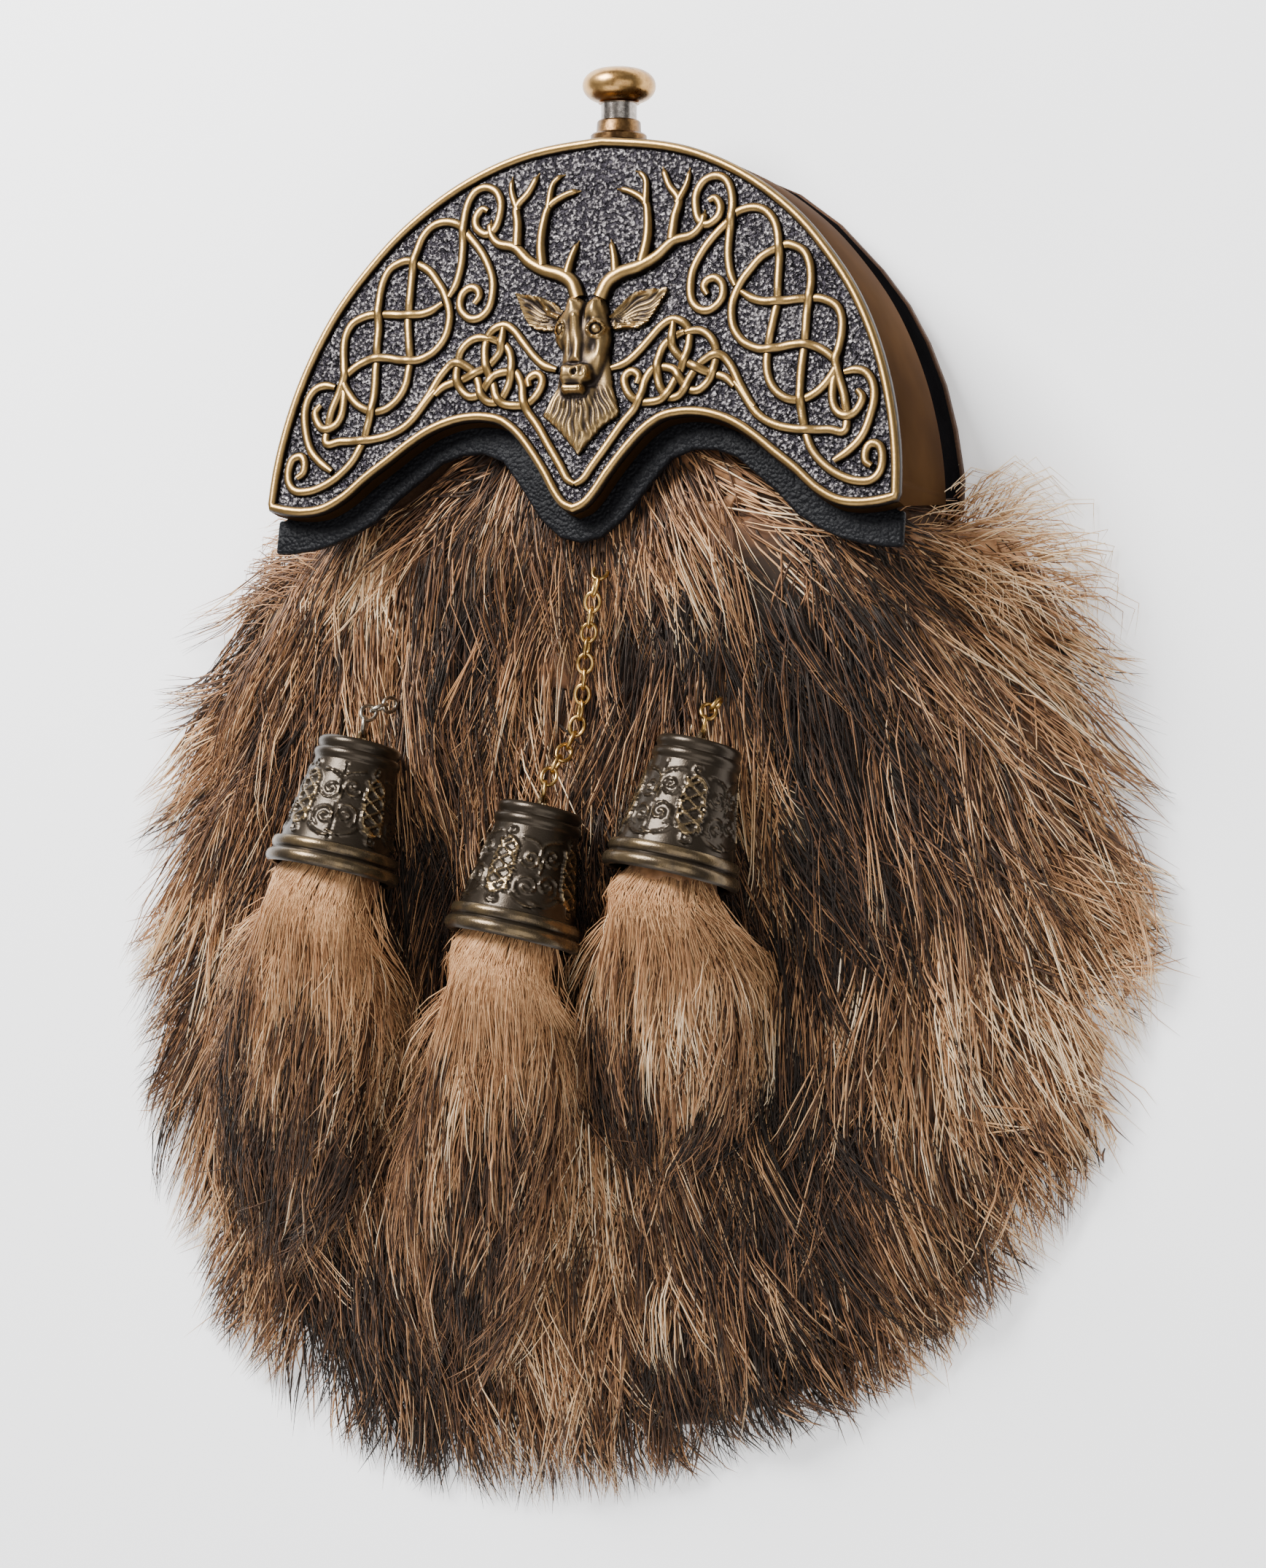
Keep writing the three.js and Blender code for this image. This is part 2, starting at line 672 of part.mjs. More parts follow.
function coneSolid() {
  const body = (share) => THREE.MathUtils.lerp(topRadius - 0.7, mouthRadius - 1, share ** 1.15);
  const outside = [
    [0, 0], [topRadius - 0.7, 0], [topRadius, 0.06], [topRadius, 0.15], [body(0.2), 0.19],
    [body(0.8), 0.8], [mouthRadius, 0.86], [mouthRadius, 1],
  ];
  const inside = [
    [mouthRadius - coneWall - 0.4, 1], [body(0.75) - coneWall, 0.75], [topRadius - 2 * coneWall, 0.1],
    [0, 0.07],
  ];
  const profile = [...outside, ...inside].map(([r, along]) => [r, -along * coneLength]);
  const eyelet = new THREE.TorusGeometry((eyeletDiameter - eyeletWire) / 2, eyeletWire / 2, 4, 8)
    .rotateY(Math.PI / 2)
    .translate(0, eyeletCentre, 0);
  return union([solid(turned(profile, 12)), solid(eyelet)]);
}

function linkSolid(centre, along, roll) {
  const radius = (linkWidth - linkWire) / 2;
  const stretch = (linkLength - linkWidth) / 2;
  const ring = new THREE.TorusGeometry(radius, linkWire / 2, 5, 10);
  const position = ring.attributes.position;
  for (let i = 0; i < position.count; i += 1) {
    const x = position.getX(i);
    if (Math.abs(x) > linkWire / 2) position.setX(i, x + Math.sign(x) * stretch);
  }
  const side = new THREE.Vector3(0, 0, 1).cross(along).normalize();
  const up = along.clone().cross(side);
  const across = side.multiplyScalar(Math.cos(roll)).addScaledVector(up, Math.sin(roll));
  const frame = new THREE.Matrix4().makeBasis(along, across, along.clone().cross(across));
  return solid(ring.applyMatrix4(frame.setPosition(centre)));
}

// Links from the tassel's eyelet up to a flat staple that holds the chain
function chainSolid(route, staple) {
  const curve = new THREE.CatmullRomCurve3(route);
  const pitch = linkLength - 2 * linkWire + linkBite;
  const length = curve.getLength();
  const first = linkLength / 2 - linkWire / 2;
  const count = Math.floor((length - 2 * first) / pitch) + 1;
  const links = Array.from({ length: count }, (_, i) => {
    const at = (first + i * pitch) / length;
    return linkSolid(curve.getPointAt(at), curve.getTangentAt(at), i % 2 ? Math.PI / 2 : 0);
  });
  const end = curve.getPointAt(Math.min(1, (2 * first + (count - 1) * pitch) / length));
  return union([...links, staple(end)]);
}

// The staple is tucked under the trim, or lies on the hair's skin
const stapleDepth = -trimBottom + clearance + linkWire / 2;

function tuckedStaple(end) {
  const top = -0.5 * linkWidth;
  const middle = (top + end.y) / 2;
  const staple = new THREE.BoxGeometry(linkWidth, top - end.y + linkWire, linkWire).rotateX(-lean);
  return solid(staple.translate(end.x, middle, underFace(middle, stapleDepth)));
}

function flatStaple(end) {
  const staple = new THREE.BoxGeometry(linkWidth, 1.4 * linkLength, linkWire);
  return solid(staple.translate(end.x, end.y + 0.6 * linkLength, end.z));
}

// A lock of the tassel's hair, from the bell to its tip: how far it fans out, and its half
// width and thickness as shares of the lock's; lift is 1 in the bell and 0 where it lies down
const tailStations = [
  { along: 0, fan: 0.3, half: 0.28, thick: 0.86, lift: 1 },
  { along: 0.2, fan: 0.65, half: 0.5, thick: 1, lift: 0.5 },
  { along: 0.65, fan: 1, half: 0.5, thick: 0.64, lift: 0 },
  { along: 1, fan: 0.75, half: 0.055, thick: 0.085, lift: 0 },
];
const tailSection = [
  { wide: -1, high: 0.3 }, { wide: 0, high: 0 }, { wide: 1, high: 0.3 }, { wide: 0.5, high: 1 },
  { wide: -0.5, high: 1 },
];
const tailLocks = [
  { side: -1, reach: 0.9 }, { side: -0.35, reach: 1.02 }, { side: 0.35, reach: 0.96 },
  { side: 1, reach: 0.96 },
];

// The tassel's hair: a plug in the bell, and locks that lie on the hair beneath
function tailSolid(mouth, axis, tip, spread) {
  const plugRadius = mouthRadius - coneWall - 0.4 - clearance;
  const plug = new THREE.CylinderGeometry(plugRadius, 0.88 * plugRadius, 0.24 * coneLength, 12);
  plug.applyQuaternion(new THREE.Quaternion().setFromUnitVectors(down.clone().negate(), axis));
  plug.translate(mouth.x, mouth.y, mouth.z);
  const start = mouth.clone().addScaledVector(axis, 0.1 * coneLength);
  const heading = tip.clone().sub(new THREE.Vector2(start.x, start.y));
  const across = new THREE.Vector2(-heading.y, heading.x).normalize();
  const locks = tailLocks.map(({ side, reach }) => {
    const rings = tailStations.map(({ along, fan, half, thick, lift }) => {
      const x = start.x + heading.x * along * reach + across.x * side * fan * spread;
      const y = start.y + heading.y * along * reach + across.y * side * fan * spread;
      const depth = thick * tailLockThickness;
      return tailSection.map(({ wide, high }) => {
        const aside = wide * half * tailLockWidth;
        const [sx, sy] = [x + across.x * aside, y + across.y * aside];
        const rest = hairTop(sx, sy) + 3 * clearance;
        const held = THREE.MathUtils.lerp(rest, start.z - depth / 2, lift);
        return new THREE.Vector3(sx, sy, Math.max(rest, held) + high * depth);
      });
    });
    return solid(loft(rings));
  });
  return union([solid(plug), ...locks]);
}

for (const { side, top, mouth, tip, spread, chain } of tassels) {
  const [topSpot, mouthSpot] = [onHair(top), onHair(mouth)];
  const middle = topSpot.clone().lerp(mouthSpot, 0.5);
  const seat = Math.max(...[topSpot, middle, mouthSpot].map(({ x, y }) => hairTop(x, y))) + clearance;
  const from = new THREE.Vector3(topSpot.x, topSpot.y, seat + topRadius);
  const flat = mouthSpot.clone().sub(topSpot).normalize();
  const rise = Math.asin((mouthRadius - topRadius) / coneLength);
  const axis = new THREE.Vector3(flat.x * Math.cos(rise), flat.y * Math.cos(rise), Math.sin(rise));
  const bell = piece(`cone_${side}`, coneSolid(), darkBrass);
  bell.position.copy(from);
  bell.quaternion.setFromUnitVectors(down, axis);

  const hook = eyeletCentre + eyeletDiameter / 2 - eyeletWire - linkWire / 2 - clearance;
  const hooked = from.clone().addScaledVector(axis, -hook);
  const drawn = hooked.clone().addScaledVector(axis, -linkLength);
  const lie = linkWidth / 2 + 2 * clearance;
  const route = chain.map(onHair).map(({ x, y }) => (
    new THREE.Vector3(x, y, Math.min(hairTop(x, y) + lie, underFace(y, stapleDepth)))));
  piece(
    `chain_${side}`,
    chainSolid([hooked, drawn, ...route.toReversed()], side === 'middle' ? tuckedStaple : flatStaple),
    chainBrass,
  );

  const mouthCentre = from.clone().addScaledVector(axis, coneLength);
  piece(
    `tail_${side}`,
    tailSolid(mouthCentre, axis, onHair(tip), spread * cantleWidth / 2),
    tasselHair,
  );
}

// Strap loops on the back
function loopSolid() {
  const half = loopLength / 2;
  const inner = half - loopThickness;
  const outline = [
    [-half, seatHeight - clearance], [-half, 0], [half, 0], [half, seatHeight - clearance],
    [inner, seatHeight - clearance], [inner, loopThickness], [-inner, loopThickness],
    [-inner, seatHeight - clearance],
  ].map(([y, z]) => new THREE.Vector2(y, z));
  return solid(slab(outline, -loopWidth / 2, loopWidth / 2).rotateY(Math.PI / 2).rotateX(Math.PI / 2));
}

for (const [side, sign] of [['left', -1], ['right', 1]]) {
  const strapLoop = piece(`belt_loop_${side}`, loopSolid(), blackLeather);
  strapLoop.position.set(sign * loopSpacing / 2, loopLength * 0.8, 0);
}

// The origin is under the middle of the whole, on the surface that it lies on
const extent = new THREE.Box3().setFromObject(sporran, true);
const middle = extent.getCenter(new THREE.Vector3());
sporran.position.set(-middle.x, -middle.y, -extent.min.z);

export default sporran;
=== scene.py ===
import math
import bpy
import numpy as np
from mathutils import Matrix, Vector, noise
from mathutils.bvhtree import BVHTree


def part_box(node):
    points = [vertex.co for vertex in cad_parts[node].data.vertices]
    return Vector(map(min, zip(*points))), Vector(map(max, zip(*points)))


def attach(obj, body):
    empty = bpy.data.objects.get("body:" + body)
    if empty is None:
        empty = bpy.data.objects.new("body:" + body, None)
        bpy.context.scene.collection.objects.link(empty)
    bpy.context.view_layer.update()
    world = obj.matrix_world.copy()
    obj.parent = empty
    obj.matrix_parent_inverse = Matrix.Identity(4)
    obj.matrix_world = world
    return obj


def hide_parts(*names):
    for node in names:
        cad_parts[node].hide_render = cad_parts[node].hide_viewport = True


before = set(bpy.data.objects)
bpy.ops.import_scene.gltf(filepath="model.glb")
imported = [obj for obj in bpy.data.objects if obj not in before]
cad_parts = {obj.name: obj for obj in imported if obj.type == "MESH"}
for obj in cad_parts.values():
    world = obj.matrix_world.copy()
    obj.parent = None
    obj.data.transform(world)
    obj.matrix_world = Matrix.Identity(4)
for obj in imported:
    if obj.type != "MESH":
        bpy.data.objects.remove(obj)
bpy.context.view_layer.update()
mm = 0.001

# The photographer stands over the pouch, to its right, with a long lens. Places are counted
# from the line of symmetry and the level of the cantle's corners, as the cantle was drawn.
cantle_rise = 85 * mm
cantle_lean = math.radians(11)
centre_line = (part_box("cantle")[0].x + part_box("cantle")[1].x) / 2
corner_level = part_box("cantle")[1].y - cantle_rise * math.cos(cantle_lean)


def spot(x, y, z):
    """A place given in millimetres."""
    return Vector((centre_line + x * mm, corner_level + y * mm, z * mm))


frame_height_px = 2150
focal_px = 5000
sensor_height = 36
bpy.ops.object.select_all(action="DESELECT")
bpy.ops.object.camera_add()
camera = bpy.context.object
camera.name = "camera"
camera.data.sensor_fit = "VERTICAL"
camera.data.sensor_height = sensor_height
camera.data.lens = focal_px / frame_height_px * sensor_height
camera_axes = Matrix((
    (0.9355, 0.0081, -0.3532),
    (-0.01055, 0.99993, -0.00502),
    (0.35314, 0.00842, 0.93553),
)).transposed()
camera.matrix_world = Matrix.Translation(spot(295.0, -53.9, 802.5)) @ camera_axes.to_4x4()
bpy.context.scene.camera = camera

# A pale table that glows a little, as an overlit backdrop does, and three soft boxes: the key
# above the top left, as the shadows beside the antlers show, a weak fill at the right, and a
# low one beyond the tassels
bpy.ops.mesh.primitive_plane_add(size=14)
table = bpy.context.object
table.name = "table"
table_finish = bpy.data.materials.new("pale_table")
table_finish.use_nodes = True
table_shader = table_finish.node_tree.nodes["Principled BSDF"]
table_shader.inputs["Base Color"].default_value = (0.93, 0.93, 0.94, 1)
table_shader.inputs["Roughness"].default_value = 0.9
table_shader.inputs["Emission Color"].default_value = (1, 1, 1, 1)
table_shader.inputs["Emission Strength"].default_value = 0.45
table.data.materials.append(table_finish)

soft_boxes = {
    "key": {"at": (-380, 560, 640), "size": 0.42, "power": 28},
    "fill": {"at": (420, -140, 720), "size": 0.7, "power": 3.5},
    "low": {"at": (-120, -620, 480), "size": 0.6, "power": 3},
}
pouch_middle = spot(0, -60, 30)
for name, box in soft_boxes.items():
    bpy.ops.object.light_add(type="AREA", location=spot(*box["at"]))
    light = bpy.context.object
    light.name = f"soft_box_{name}"
    light.data.size = box["size"]
    light.data.energy = box["power"]
    toward = light.location - pouch_middle
    light.rotation_euler = toward.to_track_quat("Z", "Y").to_euler()


class Field:
    """What varies over a surface: one socket of a material, with the operators to shade by."""

    def __init__(self, finish, socket):
        self.finish = finish
        self.socket = socket

    def node(self, kind, inputs, output=0, stops=None, **settings):
        made = self.finish.node_tree.nodes.new(kind)
        for setting, value in settings.items():
            setattr(made, setting, value)
        if stops:
            ramp = made.color_ramp
            while len(ramp.elements) < len(stops):
                ramp.elements.new(1)
            for element, (place, colour) in zip(ramp.elements, stops):
                element.position = place
                element.color = (*colour, 1)
        for name, value in inputs.items():
            if isinstance(value, Field):
                self.finish.node_tree.links.new(value.socket, made.inputs[name])
            else:
                made.inputs[name].default_value = value
        return Field(self.finish, made.outputs[output])

    def maths(self, operation, first, second):
        return self.node("ShaderNodeMath", {0: first, 1: second}, operation=operation)

    def __add__(self, other):
        return self.maths("ADD", self, other)

    __radd__ = __add__

    def __sub__(self, other):
        return self.maths("SUBTRACT", self, other)

    def __rsub__(self, other):
        return self.maths("SUBTRACT", other, self)

    def __mul__(self, other):
        return self.maths("MULTIPLY", self, other)

    __rmul__ = __mul__

    def over(self, low, high):
        """0 where this is at low and 1 where it is at high, with soft ends."""
        return self.node(
            "ShaderNodeMapRange",
            {"Value": self, "From Min": low, "From Max": high},
            interpolation_type="SMOOTHSTEP",
        )

    def mix(self, nothing, full):
        """One colour where this is 0 and another where it is 1."""
        colours = {6: nothing, 7: full}
        inputs = {
            name: value if isinstance(value, Field) else (*value, 1)
            for name, value in colours.items()
        }
        return self.node("ShaderNodeMix", {0: self, **inputs}, output=2, data_type="RGBA")


# The room is pale, and a little dimmer at the right
room = bpy.data.worlds.new("room")
room.use_nodes = True
backdrop = room.node_tree.nodes["Background"]
backdrop.inputs["Strength"].default_value = 0.42
bright_side = (1, 1, 1)
dim_side = (0.45, 0.45, 0.45)
way_seen = Field(room, None).node("ShaderNodeTexCoord", {}, output="Generated")
across_room = way_seen.node("ShaderNodeSeparateXYZ", {"Vector": way_seen}, output="X")
room_colour = across_room.over(0.0, 0.9).mix(bright_side, dim_side)
room.node_tree.links.new(room_colour.socket, backdrop.inputs["Color"])
bpy.context.scene.world = room


def new_finish(name, **constants):
    """A material, its object coordinates, and a function that feeds its shader."""
    finish = bpy.data.materials.new(name)
    finish.use_nodes = True
    shader = finish.node_tree.nodes["Principled BSDF"]
    for socket, value in constants.items():
        shader.inputs[socket.replace("_", " ")].default_value = value
    at = Field(finish, None).node("ShaderNodeTexCoord", {}, output="Object")

    def feed(**fields):
        for socket, field in fields.items():
            finish.node_tree.links.new(field.socket, shader.inputs[socket.replace("_", " ")])

    return finish, at, feed


def noise_at(at, size, detail=2, roughness=0.5, distortion=0.0):
    """Noise with lumps of about the given size, in metres."""
    return at.node("ShaderNodeTexNoise", {
        "Vector": at, "Scale": 1 / size, "Detail": detail, "Roughness": roughness,
        "Distortion": distortion,
    })


def raised(field, height):
    """A bumped normal: the field, from 0 to 1, as a height in metres."""
    return field.node("ShaderNodeBump", {"Height": field, "Distance": height, "Strength": 1.0},
                      output="Normal")


# The back of a sporran is a plain sheet of brown leather, cut to the outline of the cantle's
# arch and the pouch, burnished at its edge and sewn round with waxed thread.
weld = 0.01 * mm


def placed(name, mesh):
    """A new object with this mesh, the only one selected."""
    piece = bpy.data.objects.new(name, mesh)
    bpy.context.scene.collection.objects.link(piece)
    bpy.ops.object.select_all(action="DESELECT")
    piece.select_set(True)
    bpy.context.view_layer.objects.active = piece
    return piece


def like_node(node, name):
    """A new object with a node's own shape, without its colour."""
    piece = placed(name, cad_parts[node].data.copy())
    piece.data.materials.clear()
    return piece


def apply_to(piece, kind, **settings):
    """A modifier of this kind, set and applied."""
    modifier = piece.modifiers.new(kind.lower(), kind)
    for setting, value in settings.items():
        setattr(modifier, setting, value)
    bpy.ops.object.modifier_apply(modifier=modifier.name)


def cut_out(node, name, finish, corner, segments=3):
    """A piece with a node's own shape, its flat faces whole again and its edges rounded."""
    piece = like_node(node, name)
    bpy.ops.object.mode_set(mode="EDIT")
    bpy.ops.mesh.select_all(action="SELECT")
    bpy.ops.mesh.remove_doubles(threshold=weld)
    bpy.ops.mesh.dissolve_limited(angle_limit=math.radians(2))
    bpy.ops.object.mode_set(mode="OBJECT")
    apply_to(
        piece, "BEVEL", width=corner, segments=segments, limit_method="ANGLE",
        angle_limit=math.radians(40), harden_normals=False,
    )
    bpy.ops.object.shade_smooth_by_angle(angle=math.radians(35))
    piece.data.materials.append(finish)
    return piece


def leather(name, dark, light, grain, depth, roughness, gloss=0.2):
    """Pebbled leather: grain is the size of its pebbles and depth how far they stand up."""
    finish, at, feed = new_finish(name, Specular_IOR_Level=gloss)
    cloud = noise_at(at, 22 * mm, detail=4)
    pebble = at.node("ShaderNodeTexVoronoi", {
        "Vector": at, "Scale": 1 / grain, "Smoothness": 0.6, "Randomness": 1.0,
    }, feature="SMOOTH_F1")
    fine = noise_at(at, grain / 3, detail=3)
    skin = 1 - pebble + 0.35 * fine
    tone = cloud * 0.7 + fine * 0.3
    feed(
        Base_Color=tone.over(0.3, 0.7).mix(dark, light),
        Roughness=roughness - 0.18 * pebble,
        Normal=raised(skin, depth),
    )
    return finish


brown_leather = leather(
    "brown_leather", (0.035, 0.016, 0.008), (0.085, 0.04, 0.019), 1.3 * mm, 0.12 * mm, 0.72,
)
back_panel = cut_out("back_panel", "back_panel_leather", brown_leather, 0.6 * mm)
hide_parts("back_panel")
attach(back_panel, "pouch")


# The front of the pouch is softer brown leather, blocked over a form, hollow and open under
# the cantle. It carries the pelt.
pouch = cut_out("pouch_body", "pouch_leather", brown_leather, 0.3 * mm, 2)
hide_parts("pouch_body")
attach(pouch, "pouch")


# A waist strap runs through two loops of black leather, folded square and sewn to the back
black_leather = leather(
    "black_leather", (0.003, 0.0028, 0.003), (0.006, 0.0056, 0.006), 1.1 * mm, 0.1 * mm, 0.8,
    gloss=0.0,
)
for side in ("left", "right"):
    strap_loop = cut_out(f"belt_loop_{side}", f"strap_loop_{side}", black_leather, 0.5 * mm)
    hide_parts(f"belt_loop_{side}")
    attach(strap_loop, "pouch")


# Behind the metal rim a wooden or board frame covered in black leather carries the rim's
# line on to the back, a little inside it
back_frame = cut_out("back_frame", "frame_leather", black_leather, 0.8 * mm)
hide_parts("back_frame")
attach(back_frame, "pouch")


# The cantle is one casting: a face plate with a pebbled ground and a rolled border, and a
# rim down to the frame. It is antiqued nearly black, then rubbed back to brass on all that
# stands up, so the crests shine and the edges and the ground stay dark.
face_frame = Matrix.Translation(spot(0, 0, 59)) @ Matrix.Rotation(-cantle_lean, 4, "X")
rim_rear = 24 * mm
rim_wall = 1.8
lip_depth = 4.4
plate_thickness = 2.0
arch_points = [
    (0, 85), (10, 84.1), (20, 82.4), (35, 75.6), (45, 68), (50, 63.7), (55, 57.2), (60, 51),
    (63.5, 45), (66, 40), (68, 35), (70, 30), (71.3, 25), (72.5, 20), (73.5, 15), (74.2, 10),
    (74.7, 5), (74.5, 1.6),
]
lower_points = [
    (74, 0.1), (70, -0.9), (65, -1.3), (60, -0.5), (55, 2.3), (50, 6.7), (45, 10.5), (40, 14.4),
    (35, 17.5), (30, 19.3), (25, 19.9), (20.3, 19.3), (17.9, 18.1), (15.6, 16.3), (13.2, 13.7),
    (10.7, 10.5), (8.1, 6.8), (5.5, 2.6), (3, -0.3), (0, -1.6),
]


def flowing(points, step=0.6):
    """Points close together on a smooth curve through the given ones."""
    points = np.array(points, float)
    ends = 2 * points[:1] - points[1:2], 2 * points[-1:] - points[-2:-1]
    knots = np.concatenate([ends[0], points, ends[1]])
    runs = []
    for p, q, r, s in zip(knots, knots[1:], knots[2:], knots[3:]):
        count = max(1, round(float(np.linalg.norm(r - q)) / step))
        t = (np.arange(count) / count)[:, None]
        runs.append(q + 0.5 * t * (r - p + t * (2 * p - 5 * q + 4 * r - s
                                                + t * (3 * q - p - 3 * r + s))))
    return np.concatenate([*runs, points[-1:]])


def drawn_in(outline, distance):
    """A closed outline moved inward."""
    ahead = np.roll(outline, -1, axis=0) - outline
    behind = outline - np.roll(outline, 1, axis=0)
    run = ahead / np.linalg.norm(ahead, axis=1)[:, None]
    run = run + behind / np.linalg.norm(behind, axis=1)[:, None]
    run /= np.linalg.norm(run, axis=1)[:, None]
    return outline + distance * np.stack([run[:, 1], -run[:, 0]], axis=1)


def on_face(points):
    """Places on the leaning face, in millimetres, as places in the frame."""
    turned = np.array(points) * mm @ np.array(face_frame.to_3x3()).T
    return turned + np.array(face_frame.translation)


def new_piece(name, points, faces, finish, smooth=35):
    """A piece with these points and faces, its faces turned outward."""
    mesh = bpy.data.meshes.new(name)
    mesh.from_pydata(np.asarray(points).tolist(), [], faces)
    piece = placed(name, mesh)
    bpy.ops.object.mode_set(mode="EDIT")
    bpy.ops.mesh.select_all(action="SELECT")
    bpy.ops.mesh.normals_make_consistent(inside=False)
    bpy.ops.object.mode_set(mode="OBJECT")
    bpy.ops.object.shade_smooth_by_angle(angle=math.radians(smooth))
    mesh.materials.append(finish)
    return piece


arch_smoothings = 45
right_arch = flowing(arch_points, 1.2)
for _ in range(arch_smoothings):
    right_arch[1:-1] = (right_arch[:-2] + 2 * right_arch[1:-1] + right_arch[2:]) / 4
right_lower = flowing(lower_points, 1.2)
right_edge = np.concatenate([right_arch, right_lower])
left_edge = (right_edge * (-1, 1))[::-1]
outline = np.concatenate([right_edge, left_edge[1:-1]])
on_arch = np.zeros(len(outline), bool)
on_arch[:len(right_arch)] = True
on_arch[-len(right_arch) + 1:] = True


def ring_at(inset, depth):
    """The outline drawn in, at a depth under the face, in the frame's metres."""
    line = drawn_in(outline, inset)
    return on_face(np.column_stack([line, np.full(len(line), -depth)]))


def foot_ring(inset):
    """The rear edge of the rim on the arch, and of the lip under the lower border."""
    foot = ring_at(inset, lip_depth)
    top = ring_at(inset, 0)
    foot[on_arch] = top[on_arch]
    foot[on_arch, 2] = rim_rear
    return foot


def ring_faces(rings, sides, first=0, closed=False):
    """Four-cornered faces between rings of points that follow each other."""
    faces = []
    for r in range(rings if closed else rings - 1):
        here, there = first + r * sides, first + (r + 1) % rings * sides
        for c in range(sides):
            d = (c + 1) % sides
            faces.append([here + c, here + d, there + d, there + c])
    return faces


shell_rings = [
    ring_at(0.9, 0), ring_at(0.25, 0.0), ring_at(0.0, 0.35), foot_ring(0.0),
    foot_ring(rim_wall), ring_at(rim_wall, plate_thickness),
]
count = len(outline)
last_ring = (len(shell_rings) - 1) * count
shell_points = np.concatenate(shell_rings)
shell_faces = ring_faces(len(shell_rings), count)
shell_faces.append(list(range(count)))
shell_faces.append([last_ring + i for i in reversed(range(count))])

face_up = face_frame.to_3x3() @ Vector((0, 0, 1))
face_level = face_up.dot(face_frame.translation)


def above_face(at):
    """How far a place stands above the face's ground, in metres."""
    along = at.node("ShaderNodeVectorMath", {0: at, 1: face_up}, output="Value",
                    operation="DOT_PRODUCT")
    return along - face_level


gunmetal, at, feed = new_finish(
    "gunmetal_ground", Metallic=1.0, Specular_Tint=(0.60, 0.54, 0.52, 1),
)
pebble_size = 0.95 * mm
pebbles = at.node("ShaderNodeTexVoronoi", {
    "Vector": at, "Scale": 1 / pebble_size, "Smoothness": 0.3,
}, feature="SMOOTH_F1")
worms = noise_at(at, 1.0 * mm, detail=2, distortion=1.6)
ground_height = (1 - pebbles) * 0.6 + worms * 0.7
worn = noise_at(at, 14 * mm, detail=3)
face_side = above_face(at).over(-0.9 * mm, -0.3 * mm)
rim_smudge = noise_at(at, 30 * mm, detail=3, roughness=0.5)
rim_brass = rim_smudge.over(0.2, 0.85).mix((0.026, 0.013, 0.0056), (0.075, 0.038, 0.014))
ground_tone = (ground_height * 0.8 + worn * 0.2).over(0.55, 0.95)
ground_colour = ground_tone.mix((0.008, 0.0072, 0.0085), (0.165, 0.15, 0.15))
feed(
    Base_Color=face_side.mix(rim_brass, ground_colour),
    Roughness=0.56 - 0.3 * face_side + 0.1 * worn,
    Normal=raised(ground_height * face_side + 0.04 * rim_smudge, 0.42 * mm),
)
cantle = new_piece("cantle_casting", shell_points, shell_faces, gunmetal)
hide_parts("cantle")
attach(cantle, "pouch")


